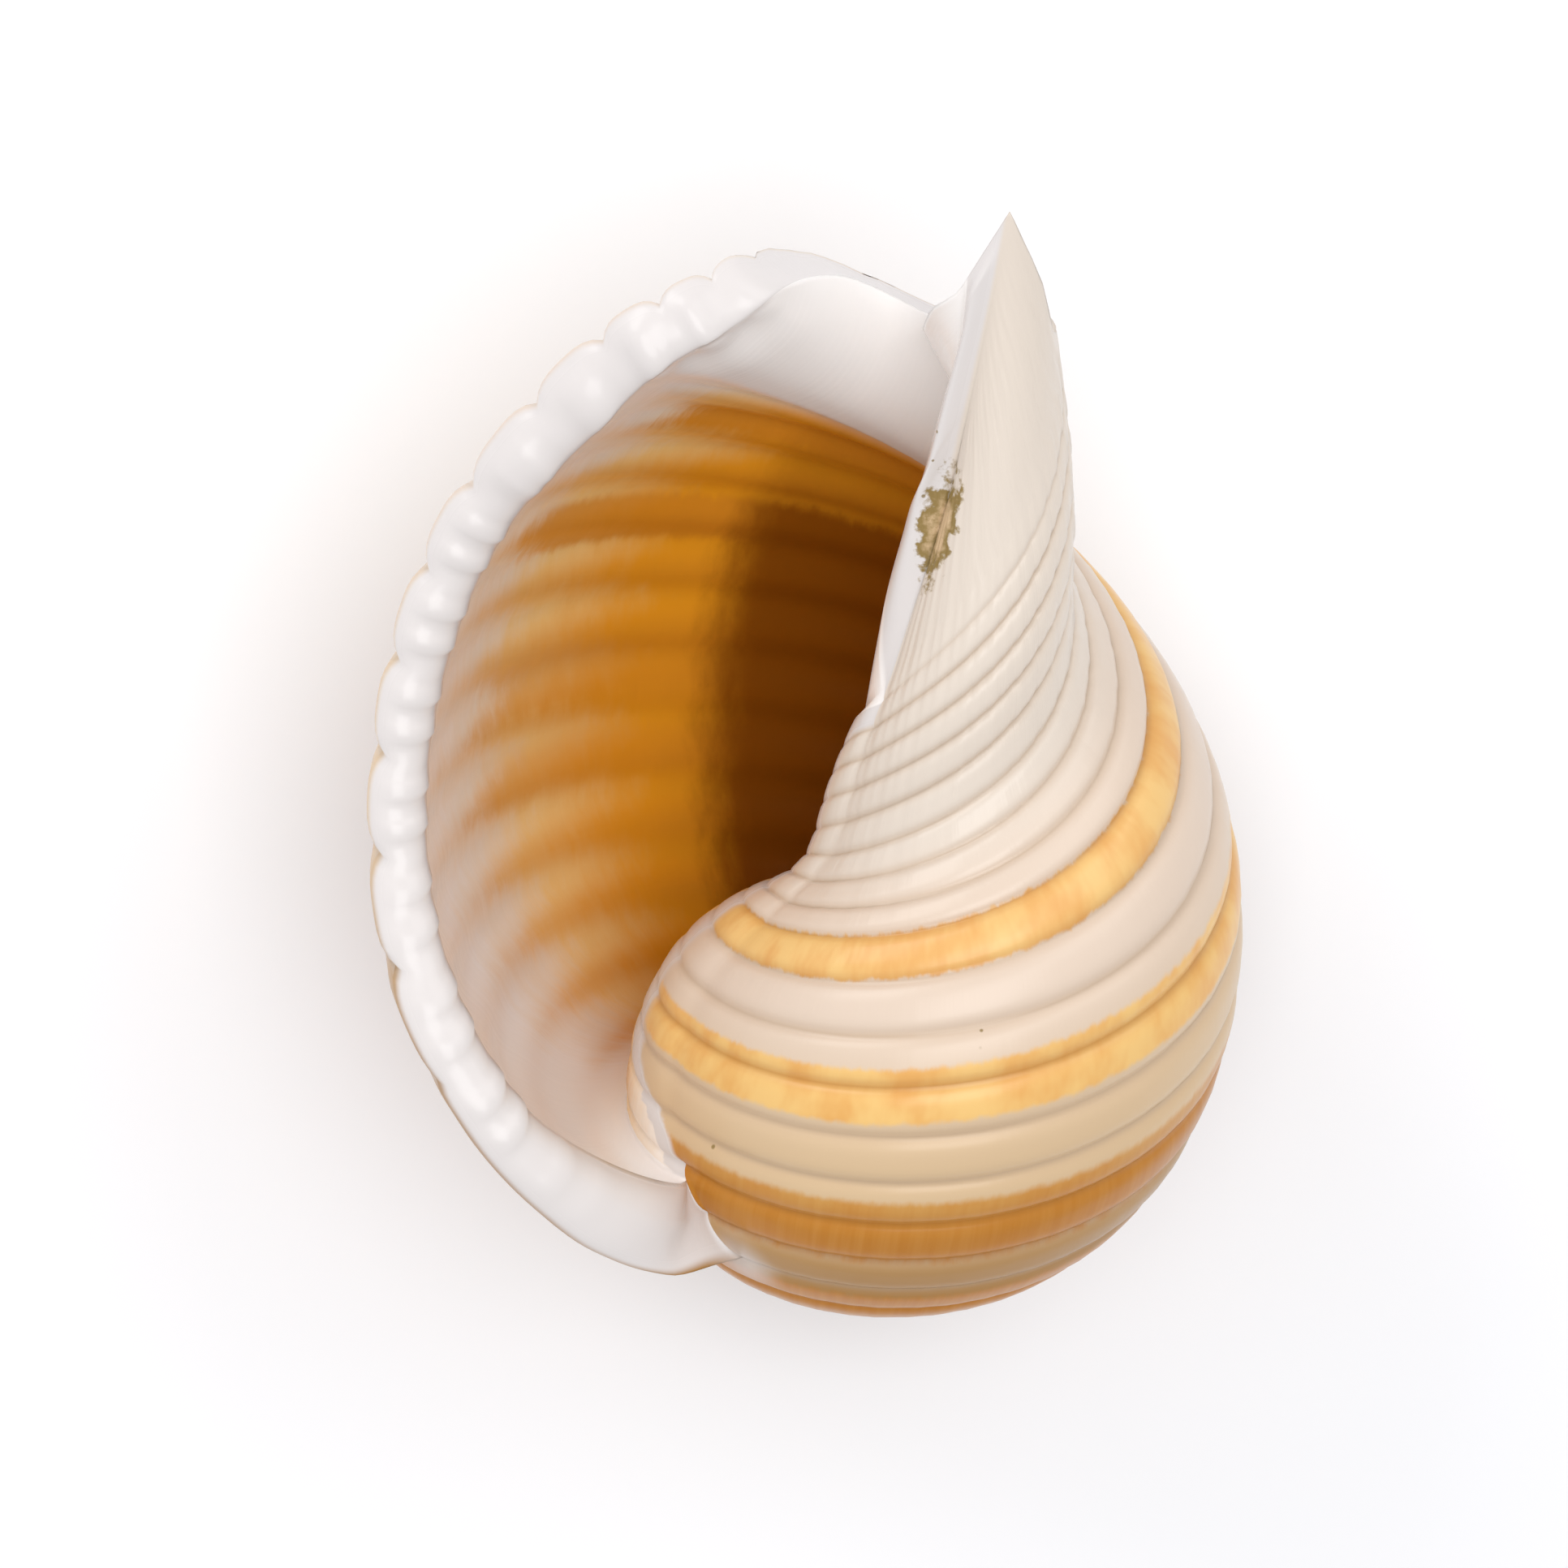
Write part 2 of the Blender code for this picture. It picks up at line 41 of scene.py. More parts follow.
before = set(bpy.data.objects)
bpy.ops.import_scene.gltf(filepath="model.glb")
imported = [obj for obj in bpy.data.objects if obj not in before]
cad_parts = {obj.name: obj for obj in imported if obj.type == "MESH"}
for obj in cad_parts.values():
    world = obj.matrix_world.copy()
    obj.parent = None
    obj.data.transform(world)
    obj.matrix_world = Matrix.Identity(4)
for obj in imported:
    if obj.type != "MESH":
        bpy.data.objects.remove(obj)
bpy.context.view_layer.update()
MM = 0.001

# Spiral: growth per radian, and the turn after which a whorl's seam meets the one before
GROWTH = 0.1208
WHORL_TURN = 330.0

# Outline of the last whorl at angle 0, as (radius, height above the tip of the spire)
PROFILE = [(15.5, 12.3), (20.0, 15.4), (23.4, 19.6), (25.8, 25.0), (26.9, 31.0), (26.9, 37.0),
           (25.8, 43.0), (23.4, 49.0), (19.8, 53.9), (15.4, 57.9), (12.2, 60.3), (10.3, 62.9),
           (9.3, 66.8), (8.8, 71.2), (7.6, 77.2), (5.7, 84.4), (3.6, 92.0), (1.6, 99.6),
           (0.8, 105.0)]
SEAM_START = (11.2, 10.0)

# Ribs from the shoulder to the base: their widths, the height of their crests above the grooves as
# (place, height), how square their tops are, and the turn over which they calm down at the lip
RIB_WIDTHS = [4.5] * 4 + [4.75] * 6 + [5.1, 4.4, 3.1, 3.2, 3.1, 3.7, 3.7, 3.5, 3.3, 3.0, 2.9]
RIB_RISE = [(0, 0.44), (10, 0.64), (55, 0.66), (62, 0.54), (90, 0.40)]
RIB_SQUARENESS = 3.5
LIP_CALM = 16.0

# Growth ripples, as (share of the height, pace per degree, start, lean along the profile), their
# height, and what the base adds to it
RIPPLES = [(1.0, 0.83, 0.0, 0.05), (0.7, 0.37, 1.3, 0.02), (0.5, 1.31, 4.1, 0.0)]
RIPPLE_RISE = 0.018
BASE_RIPPLE_RISE = 0.022

# Places along the profile: seam of the next whorl, canal notch, tip, and the two ends of the
# inner lip on the whorl that it lies on
SEAM_AT = 18.0
NOTCH_AT = 71.0
TIP_AT = 108.43
JOIN_AT = 82.6
CORNER_AT = 26.075

# Edge of the outer lip and front edge of the last whorl, as (place along the profile, angle)
LIP_EDGE = [(0, 244), (8, 230), (18, 214), (28, 197), (37.5, 189), (47, 185), (53.5, 185),
            (59, 187), (64, 180), (68, 150), (NOTCH_AT, 106), (73, 96), (77.5, 80), (82, 54),
            (86, 31), (89, 21), (96, 10), (104, -10), (TIP_AT, -25)]
WHORL_EDGE = [(SEAM_AT, -116), (22.75, -126), (28, -134), (37.5, -143), (47, -145.5),
              (53.5, -145), (59, -143), (64, -140), (70, -137), (77, -134), (84, -131),
              (97, -131), (TIP_AT, -131)]

# Outer lip: outward flare and the turn that it takes, depth of the thick bead on the inside, height
# of its front, how far back its crease lies, the spread and half width of a rib's two teeth in
# shares of the rib, and the turn over which the bead goes over into the wall
FLARE = [(0, 1.6), (6, 2.0), (13, 1.4), (28, 0.8), (47, 2.1), (59, 3.9), (66, 3.1),
         (NOTCH_AT, 0.4), (76, 0.0), (TIP_AT, 0.0)]
FLARE_TURN = 42.0
BEAD_DEPTH = [(0, 3.6), (13, 3.5), (28, 3.2), (46, 2.5), (52, 2.1), (59, 0.6), (66, 0.4),
              (NOTCH_AT, 0.9)]
BEAD_FRONT = [(0, 1.5), (8, 1.8), (48, 1.8), (60, 1.1), (66, 0.5), (NOTCH_AT, 0.1)]
CREASE_BACK = 1.2
CREASE_SHARE = [(0, 0.4), (4, 1.0), (10, 1.9), (18, 1.8), (28, 1.0), (46, 1.0), (56, 0.0)]
TOOTH_SPREAD = 0.19
TOOTH_HALF_WIDTH = 0.085
BEAD_BLEND = 22.0

# Inside: soft swellings that carry the lip's ribs on, the ledge along the canal, the angle for which
# the wall's thickness is given, and the glaze on the whorl before with its own angle, the turn in
# which it thickens and the turn in which it drowns the ribs
LIP_SWELL = 0.3
CANAL_LEDGE = 0.7
WALL_ANGLE = 190.0
GLAZE = 0.8
GLAZE_ANGLE = -135.0
GLAZE_TURN = 7.0
GLAZED_RIBS_TURN = 45.0

# Inner lip, as (share of the way, radius, angle, height): canal side, then columella side
CANAL_EDGE = [(0.3, 7.2, 125, 86.6), (0.6, 4.4, 147, 90.2), (0.84, 2.2, 170, 92.6),
              (1.0, 1.7, 180, 93.8)]
SHIELD_EDGE = [(0.12, 1.5, 180, 92.0), (0.25, 1.45, 180, 90.0), (0.4, 1.7, 180, 87.0),
               (0.5, 2.05, 180, 84.3), (0.6, 2.4, 180, 81.2), (0.7, 2.8, 180, 77.5),
               (0.76, 3.35, 180, 75.2), (0.82, 3.65, 180, 72.6), (0.9, 4.25, 188, 68.2),
               (0.95, 4.7, 205, 64.6)]

# Rounded roll of the columella's shield: its height, the way it leans and its section, as (share of
# the way across, share of the height); then the dip along the tip of the canal
SHIELD_ROLL = 0.9
SHIELD_ROLL_ANGLE = -112.0
ROLL_SECTION = [(0, 0), (0.2, 0.22), (0.4, 0.62), (0.6, 1.0), (0.8, 0.9), (1.0, 0)]
TIP_DIP = 0.9

# Corner of the opening at the seam, rounded with this point of the profile plane
CORNER_ROUND_AT = 7.0
CORNER_ROUND = (14.2, 13.1)

# Rest, as the shell lies in the frame: roll about its axis, rise and turn of the axis, spire tip
AXIS_ROLL = -9.6
AXIS_RAISED = 28.8
AXIS_TURN = 2.1
APEX_PLACE = (5.52, -43.70, 12.93)

# Mesh steps: columns of the last whorl, of the spire and across the lip, rows to a rib and on the
# smooth tip, depths of the inside wall's rings, and the rings and rise of the spire's blunt top
COLUMNS = 110
SPIRE_COLUMNS = 330
STRIP_COLUMNS = 17
ROWS_PER_RIB = 10
TIP_ROWS = (85.5, 88.0, 91.0, 94.5, 98.0, 102.0, 105.5, TIP_AT)
DEPTHS = [2, 4, 7, 10, 14, 19, 25] + list(range(32, 410, 8))
TOP_RINGS = (0.75, 0.5, 0.25, 0.08)
TOP_RISE = 0.15

# The camera: in its own view the shell's axis is raised towards it and leans to the right
VIEW_AXIS_RAISED = 32.1
VIEW_AXIS_LEAN = 7.3
VIEW_APEX = (4.556, -43.08, 0.0)
VIEW_DISTANCE = 368.5
VIEW_LENS = 102.5
SENSOR = 36.0


def ramp(value, start, end):
    """Smooth rise from 0 to 1 while the value goes from start to end: three times the square of
    the way less twice its cube."""
    way = np.clip((value - start) / (end - start), 0, 1)
    return way * way * (3 - 2 * way)


def table(rows, at):
    """Straight-line reading of a short (place, value) list."""
    places, values = zip(*rows)
    return np.interp(at, places, values)


def natural_spline(x, y, at):
    """Cubic spline through the points (x, y), with straight ends, read at the given places. Its
    curvatures solve the usual three-band system: neighbours weigh their steps, and the middle
    weighs twice the sum of both steps."""
    x, y, at = (np.asarray(values, float) for values in (x, y, at))
    step = np.diff(x)
    middle = np.r_[1.0, 2 * (step[:-1] + step[1:]), 1.0]
    matrix = np.diag(middle) + np.diag(np.r_[0.0, step[1:]], 1) + np.diag(np.r_[step[:-1], 0.0], -1)
    slopes = np.diff(y, axis=0) / step.reshape((-1,) + (1,) * (y.ndim - 1))
    right = np.zeros_like(y)
    right[1:-1] = 3 * np.diff(slopes, axis=0)
    curve = np.linalg.solve(matrix, right)
    i = np.clip(np.searchsorted(x, at) - 1, 0, len(x) - 2)
    shape = at.shape + (1,) * (y.ndim - 1)
    width = step[i].reshape(shape)
    past = (at - x[i]).reshape(shape)
    slope = (y[i + 1] - y[i]) / width - width * (2 * curve[i] + curve[i + 1]) / 3
    return y[i] + slope * past + curve[i] * past ** 2 + (curve[i + 1] - curve[i]) / (3 * width) * past ** 3


def steady_curve(rows, at):
    """Smooth curve through a list of (place, values...) that never overshoots between points: a
    cubic Hermite curve whose slope at each point is the weighted harmonic mean of its sides."""
    rows = np.array(rows, float)
    x, y = rows[:, 0], rows[:, 1:]
    step = np.diff(x)[:, None]
    rise = np.diff(y, axis=0) / step
    slope = np.zeros_like(y)
    slope[0], slope[-1] = rise[0], rise[-1]
    same = rise[:-1] * rise[1:] > 0
    before = np.where(same, rise[:-1], 1.0)
    after = np.where(same, rise[1:], 1.0)
    weight_a, weight_b = 2 * step[1:] + step[:-1], step[1:] + 2 * step[:-1]
    slope[1:-1] = np.where(same, (weight_a + weight_b) / (weight_a / before + weight_b / after), 0.0)
    at = np.clip(np.asarray(at, float), x[0], x[-1])
    i = np.clip(np.searchsorted(x, at) - 1, 0, len(x) - 2)
    u = (at - x[i])[..., None] / step[i]
    out = ((2 * u ** 3 - 3 * u ** 2 + 1) * y[i] + (u ** 3 - 2 * u ** 2 + u) * step[i] * slope[i]
           + (3 * u ** 2 - 2 * u ** 3) * y[i + 1] + (u ** 3 - u ** 2) * step[i] * slope[i + 1])
    return out[..., 0] if out.shape[-1] == 1 else out


def profile_knots():
    """Profile points with their distance along it. The first is set so that the profile starts
    exactly where the whorl before, one turn smaller, has its seam."""
    start = np.array(SEAM_START)
    for _ in range(12):
        points = np.vstack([start, np.array(PROFILE)])
        along = np.r_[0, np.cumsum(np.hypot(*np.diff(points, axis=0).T))]
        seam = natural_spline(along, points, np.array([SEAM_AT]))[0]
        start = seam * math.exp(-GROWTH * 2 * math.pi)
    return along, points


PROFILE_ALONG, PROFILE_POINTS = profile_knots()
RIB_EDGES = np.r_[0.0, np.cumsum(RIB_WIDTHS)]


def growth_frame(s):
    """Profile point at place s, with the outward normal and the direction of growth there, as
    (radial, around, up) parts at angle 0. The normal is the cross product of the profile's
    tangent and the spiral's tangent."""
    r, z = np.moveaxis(natural_spline(PROFILE_ALONG, PROFILE_POINTS, s), -1, 0)
    tiny = 0.02
    ahead = natural_spline(PROFILE_ALONG, PROFILE_POINTS, s + tiny)
    behind = natural_spline(PROFILE_ALONG, PROFILE_POINTS, s - tiny)
    dr, dz = np.moveaxis((ahead - behind) / (2 * tiny), -1, 0)
    normal = np.stack([r * dz, GROWTH * (z * dr - r * dz), -r * dr], -1)
    growth = np.stack([GROWTH * r, r, GROWTH * z], -1)
    along = np.stack([dr, 0 * dr, dz], -1)
    normal /= np.linalg.norm(normal, axis=-1)[..., None]
    along /= np.linalg.norm(along, axis=-1)[..., None]
    growth = growth - (growth * along).sum(-1)[..., None] * along
    growth /= np.linalg.norm(growth, axis=-1)[..., None]
    return r, z, normal, growth


def turned(radius, angle, height, offset=(0.0, 0.0, 0.0)):
    """Point at a radius and height, with an offset (radial, around, up), turned to an angle."""
    cos, sin = np.cos(angle), np.sin(angle)
    out = radius + offset[0]
    parts = np.broadcast_arrays(out * cos - offset[1] * sin, out * sin + offset[1] * cos, height + offset[2])
    return np.stack(parts, -1)


def on_whorl(angle, s, out=0.0, ahead=0.0):
    """Point on the whorl's plain surface: the profile point at s, times the growth for the angle,
    turned by the angle, moved out along its normal and ahead along growth."""
    angle, s, out, ahead = np.broadcast_arrays(*[np.asarray(v, float) for v in (angle, s, out, ahead)])
    r, z, normal, growth = growth_frame(s)
    size = np.exp(GROWTH * angle)
    offset = normal * out[..., None] + growth * ahead[..., None]
    return turned(r * size, angle, z * size, np.moveaxis(offset, -1, 0))


def lip_angle(s):
    """Angle of the outer lip's edge, in radians."""
    return np.radians(steady_curve(LIP_EDGE, s))


def start_angle(s):
    """Angle at which the last whorl's skin starts: one whorl back on the shoulder, and along the
    inner lip below it."""
    return np.where(s <= SEAM_AT, lip_angle(s) - math.radians(WHORL_TURN),
                    np.radians(steady_curve(WHORL_EDGE, s)))


def place_in_rib(s):
    """Share of the way across the rib that the place lies on, 0 and 1 in the grooves."""
    i = np.clip(np.searchsorted(RIB_EDGES, s + 1e-9, side="right") - 1, 0, len(RIB_WIDTHS) - 1)
    return np.clip((s - RIB_EDGES[i]) / np.array(RIB_WIDTHS)[i], 0, 1)


def rib_wave(s):
    """Cosine wave with one period to a rib: 1 in the grooves and -1 on the crests."""
    return np.cos(2 * math.pi * place_in_rib(s))


def rib_relief(angle, s):
    """Height of the ribs over the plain surface: flat-topped cords with narrow grooves, a half
    less the distance from the cord's middle to a high power. They fade out towards the tip and
    the seam, and where the lip nears the seam."""
    cord = 0.5 - np.abs(2 * place_in_rib(s) - 1) ** RIB_SQUARENESS
    fade = ramp(s, RIB_EDGES[-1] + 1.5, RIB_EDGES[-1] - 8.5) * ramp(s, -1.0, 3.0)
    at_lip = 1 - ramp(lip_angle(s) - angle, 0.0, math.radians(LIP_CALM))
    fade = fade * (1 - at_lip * ramp(s, 24.0, 14.0))
    return cord * fade * table(RIB_RISE, s) * np.exp(GROWTH * angle)


def growth_ripple(angle, s):
    """Low uneven ripples that cross the ribs: a sum of sines of the angle, in millimetres."""
    turn = np.degrees(angle)
    wave = sum(share * np.sin(turn * pace + start + lean * s) for share, pace, start, lean in RIPPLES)
    fade = ramp(s, -1.0, 3.0) * ramp(s, TIP_AT, TIP_AT - 12.0)
    rise = RIPPLE_RISE + BASE_RIPPLE_RISE * ramp(s, 56.0, 62.0)
    return rise * wave * fade * np.exp(GROWTH * angle)


def lip_flare(angle, s):
    """Outward bend of the last part of the whorl, as the square of the way to the lip's edge."""
    x = np.clip(1 - (lip_angle(s) - angle) / math.radians(FLARE_TURN), 0, 1)
    return steady_curve(FLARE, s) * x * x * ramp(s, 0.0, 4.0)


def skin(angle, s):
    """Outer surface of the whorl: the plain surface with its ribs, ripples and lip flare."""
    return on_whorl(angle, s, rib_relief(angle, s) + growth_ripple(angle, s) + lip_flare(angle, s))


def bead(s, across, tooth_rise):
    """Rounded front of the outer lip: across is 0 on its outer edge and 1 in the crease inside,
    and the section between is half an ellipse. Each rib ends in a pair of teeth, bell curves
    along the lip; towards the canal each pair grows together into one broad knob."""
    s, across = np.broadcast_arrays(np.asarray(s, float), np.asarray(across, float))
    angle = lip_angle(s)
    high = rib_relief(angle, s) + growth_ripple(angle, s) + lip_flare(angle, s)
    low = -steady_curve(BEAD_DEPTH, s)
    turn = math.pi * across
    out = (high + low) / 2 + (high - low) / 2 * np.cos(turn)
    ahead = table(BEAD_FRONT, s) * np.sin(turn) ** 0.75
    ahead = ahead - CREASE_BACK * across ** 4 * table(CREASE_SHARE, s)
    merge = ramp(s, 44.0, 52.0)
    from_pair = np.abs(place_in_rib(s) - 0.5) - TOOTH_SPREAD * (1 - 0.8 * merge)
    pair = np.exp(-(from_pair / (TOOTH_HALF_WIDTH * (1 + 1.2 * merge))) ** 2)
    toothed = ramp(s, 8.0, 16.0) * ramp(s, 66.0, 60.0)
    inwards = ramp(across, 0.22, 0.47) * ramp(across, 1.02, 0.9)
    tooth = tooth_rise * pair * toothed * inwards
    return on_whorl(angle, s, out - tooth * 0.5 * ramp(across, 0.35, 0.65), ahead + tooth)


def cylinder_place(point):
    """Radius, angle in degrees and height of a point."""
    return math.hypot(point[0], point[1]), math.degrees(math.atan2(point[1], point[0])) % 360, point[2]


def inner_edge_knots():
    """Knots of the inner lip, joined to the notch at one end and to the whorl at the other."""
    notch = cylinder_place(bead(NOTCH_AT, 1.0, 0.0))
    angle = start_angle(np.array(JOIN_AT))
    join = cylinder_place(on_whorl(angle, JOIN_AT, rib_relief(angle, np.array(JOIN_AT))))
    canal = [(0.0,) + notch] + CANAL_EDGE
    shield = [(0.0,) + CANAL_EDGE[-1][1:]] + SHIELD_EDGE + [(1.0,) + join]
    return canal, shield


CANAL_KNOTS, SHIELD_KNOTS = inner_edge_knots()


def inner_edge(p):
    """Radius, angle and height of the inner lip: p is 1 at the notch, 2 at the tip, 3 where the
    lip joins the whorl."""
    canal = steady_curve(CANAL_KNOTS, np.clip(p - 1, 0, 1))
    shield = steady_curve(SHIELD_KNOTS, np.clip(p - 2, 0, 1))
    return np.where((p < 2)[..., None], canal, shield)


def inside_outer_wall(s, depth, wall, corrugation):
    """Inner face of the outer wall: the whorl less its thickness, which goes over from the bead's
    depth at the lip to the wall's own, and waves softly where the ribs are."""
    angle = lip_angle(s) - np.radians(depth)
    near = np.exp(-depth / BEAD_BLEND)
    grown = np.exp(GROWTH * (angle - math.radians(WALL_ANGLE)))
    wave = corrugation * rib_wave(s) * ramp(depth, 0.0, 14.0) * ramp(s, 60.0, 54.0) * ramp(s, 6.0, 12.0)
    swell = LIP_SWELL * rib_wave(s) * ramp(depth, 0.0, 4.0) * np.exp(-depth / 12.0)
    swell = swell * ramp(s, 44.0, 52.0) * ramp(s, 67.0, 61.0)
    ledge = CANAL_LEDGE * ramp(s, 57.0, 59.5) * ramp(s, 67.0, 61.0) * ramp(depth, 6.0, 22.0)
    thickness = (wall + wave) * grown * (1 - near) + steady_curve(BEAD_DEPTH, s) * near
    crease = CREASE_BACK * near * table(CREASE_SHARE, s)
    return on_whorl(angle, s, -(thickness - swell + ledge * grown), -crease)


def inside_columella(p, depth):
    """The columella's wall: the inner lip wound back and shrunk by the growth."""
    radius, angle, height = np.moveaxis(inner_edge(p), -1, 0)
    back = np.radians(depth)
    size = np.exp(-GROWTH * back)
    return turned(radius * size, np.radians(angle) - back, height * size)


def place_before(p):
    """Place along the profile of the whorl before: straight from the join, p 3, to the corner, p 4."""
    return np.clip(JOIN_AT - (JOIN_AT - CORNER_AT) * (p - 3), CORNER_AT, JOIN_AT)


def inside_whorl_before(p, depth):
    """The glazed surface of the whorl before, which the ribs fade out of inwards."""
    s = place_before(p)
    angle = start_angle(s) - np.radians(depth)
    glaze = GLAZE * (1 - np.exp(-depth / GLAZE_TURN))
    glaze = glaze * np.exp(GROWTH * (angle - math.radians(GLAZE_ANGLE)))
    relief = (rib_relief(angle, s) + growth_ripple(angle, s)) * np.exp(-depth / GLAZED_RIBS_TURN)
    return on_whorl(angle, s, glaze + relief)


def inside(p, depth, wall, corrugation):
    """Inside wall: p runs once round the opening (0 at the seam corner, 0 to 1 outer wall, 1 to 3
    columella, 3 to 4 the whorl before), and depth is the angle that the wall has wound inwards.
    The corner at the seam is a curve of the second degree."""
    p, depth = np.broadcast_arrays(np.asarray(p, float) % 4, np.asarray(depth, float))
    outer = inside_outer_wall(np.clip(NOTCH_AT * p, CORNER_ROUND_AT, NOTCH_AT), depth, wall, corrugation)
    points = np.where((p < 1)[..., None], outer, inside_columella(p, depth))
    points = np.where((p >= 3)[..., None], inside_whorl_before(p, depth), points)
    angle = lip_angle(np.array(CORNER_ROUND_AT)) - np.radians(depth)
    size = np.exp(GROWTH * angle)
    pull = turned(CORNER_ROUND[0] * size, angle, CORNER_ROUND[1] * size)
    seam = inside_whorl_before(np.full(p.shape, 4.0), depth)
    u = np.clip(p * NOTCH_AT / CORNER_ROUND_AT, 0, 1)[..., None]
    corner = (1 - u) ** 2 * seam + 2 * u * (1 - u) * pull + u ** 2 * outer
    return np.where((p * NOTCH_AT < CORNER_ROUND_AT)[..., None], corner, points)


def row_places():
    """Rows of the mesh along the profile: evenly spaced in each rib, then the smooth tip."""
    share = np.arange(ROWS_PER_RIB) / ROWS_PER_RIB
    ribs = RIB_EDGES[:-1, None] + np.array(RIB_WIDTHS)[:, None] * share
    return np.r_[ribs.ravel(), TIP_ROWS]


def strip_points(rows, side, seat, notch_row, tooth_rise):
    """Strip from the skin's edge to the inner edge of the opening: a straight line across for each
    point of the edge, with the bead's bulge on the lip, the seat on the whorl at the seam, a dip
    along the tip, and the rounded roll of the columella's shield. The bulge is what the bead
    stands off its own straight line, and the dip is a parabola across."""
    last = len(rows) - 1
    step = np.arange(len(side))
    s = rows[np.minimum(step, last)]
    across = np.arange(STRIP_COLUMNS + 1) / STRIP_COLUMNS
    f = across[None, :, None]
    on_tip = np.clip((s - NOTCH_AT) / (TIP_AT - NOTCH_AT), 0, 1)
    on_shield = np.clip((step - last) / COLUMNS, 0, 1)
    p = np.where(step < notch_row, s / NOTCH_AT, 1 + on_tip + on_shield)
    radius, angle, height = np.moveaxis(inner_edge(np.maximum(p, 1)), -1, 0)
    lip = bead(np.minimum(s, NOTCH_AT)[:, None], across[None, :], tooth_rise)
    bulge = lip - (lip[:, :1] * (1 - f) + lip[:, -1:] * f)
    seat_bulge = seat - (seat[:1] * (1 - f[0]) + seat[-1:] * f[0])
    off_seat = ramp(s, 2.0, 14.0)[:, None]
    inner = np.where((step < notch_row)[:, None], seat[-1] * (1 - off_seat) + lip[:, -1] * off_seat,
                     turned(radius, np.radians(angle), height))
    # Bulge of the bead and the seat, which goes over from one to the other near the seam
    off_seat = off_seat[..., None]
    keep = (1 - ramp(on_tip, 0.0, 0.1))[:, None, None]
    points = side[:, None] * (1 - f) + inner[:, None] * f + (1 - off_seat) * seat_bulge
    points = points + bulge * keep * (off_seat + (1 - off_seat) * ramp(s, 0.0, 10.0)[:, None, None])
    # Dip along the tip, then the roll of the shield
    dip = (step <= last) * TIP_DIP * ramp(on_tip, 0.0, 0.5) * (1 - ramp(on_tip, 0.6, 1.0))
    points[..., 2] -= dip[:, None] * 4 * across * (1 - across)
    roll = SHIELD_ROLL * ramp(on_shield, 0.0, 0.15) * (1 - 0.3 * ramp(on_shield, 0.7, 1.0))
    roll = roll * (1 - ramp(on_shield, 0.9, 1.0))
    shape = natural_spline(*zip(*ROLL_SECTION), across)
    aim = math.radians(SHIELD_ROLL_ANGLE)
    points = points + (roll[:, None] * shape)[..., None] * np.array([math.cos(aim), math.sin(aim), 0])
    return points, p


# What the materials read: place along the profile, angle, turn behind the lip, 0 on the skin to 1
# inside, age of the inside wall, how warm its colour may be, and depth in a groove
# The depth in a groove sets the painted shade in the grooves on the outside, and the stripes inside.
FACTS = ("place", "angle", "behind_lip", "inner", "age", "warmth", "groove")
# Values for the spire's blunt top, and the place that the columella's wall counts as
FAR_BEHIND_LIP = 900.0
TOP_FACTS = {"place": 9.0, "behind_lip": FAR_BEHIND_LIP}
COLUMELLA_PLACE = 66.0


def groove_depth(s):
    """1 at the bottom of the groove between two ribs and 0 on the rib's crest. On the outside it masks the
    painted shade in the grooves.
    """
    return np.abs(2 * place_in_rib(s) - 1) ** 5 * ramp(s, RIB_EDGES[-1], RIB_EDGES[-1] - 6.0)


def facts(shape, **values):
    """Array of what the materials read at each grid point, in the order of FACTS, 0 unless given."""
    return np.stack([np.broadcast_to(values.get(name, 0.0), shape) for name in FACTS], -1)


class Surface:
    """Points and faces of the shell, gathered grid by grid in whole arrays. Each face corner keeps
    its own facts, so that a whorl's first row and the seam it shares can differ in colour."""

    def __init__(self):
        self.points = np.zeros((0, 3))
        self.quads = []
        self.quad_facts = []

    def add(self, points):
        first = len(self.points)
        self.points = np.vstack([self.points, points.reshape(-1, 3)])
        return np.arange(first, len(self.points)).reshape(points.shape[:-1])

    def join(self, index, values):
        """Faces of a grid of point numbers, without the cells that have a missing corner."""
        cut = (slice(None, -1), slice(1, None))
        order = [(cut[0], cut[0]), (cut[1], cut[0]), (cut[1], cut[1]), (cut[0], cut[1])]
        cells = np.stack([index[at] for at in order], -1).reshape(-1, 4)
        corners = np.stack([values[at] for at in order], -2).reshape(-1, 4, len(FACTS))
        whole = (cells >= 0).all(1)
        self.quads.append(cells[whole])
        self.quad_facts.append(corners[whole])


def add_skin(surface, rows, seam_row):
    """Skin of the last whorl and the spire. A whorl's first row is the seam row one whorl back."""
    columns = np.arange(-SPIRE_COLUMNS, COLUMNS + 1)
    angle = start_angle(rows) + (lip_angle(rows) - start_angle(rows)) * columns[:, None] / COLUMNS
    place = np.broadcast_to(rows, angle.shape)
    points = skin(angle, place)
    used = np.ones(angle.shape, bool)
    used[columns < 0, seam_row + 1:] = False
    shared = columns - COLUMNS >= -SPIRE_COLUMNS
    used[shared, 0] = False
    index = np.full(angle.shape, -1)
    index[used] = surface.add(points[used])
    index[shared, 0] = index[:-COLUMNS, seam_row]
    values = facts(angle.shape, place=place, angle=np.degrees(angle),
                   behind_lip=np.degrees(lip_angle(rows) - angle), groove=groove_depth(place))
    surface.join(index, values)
    return index, values


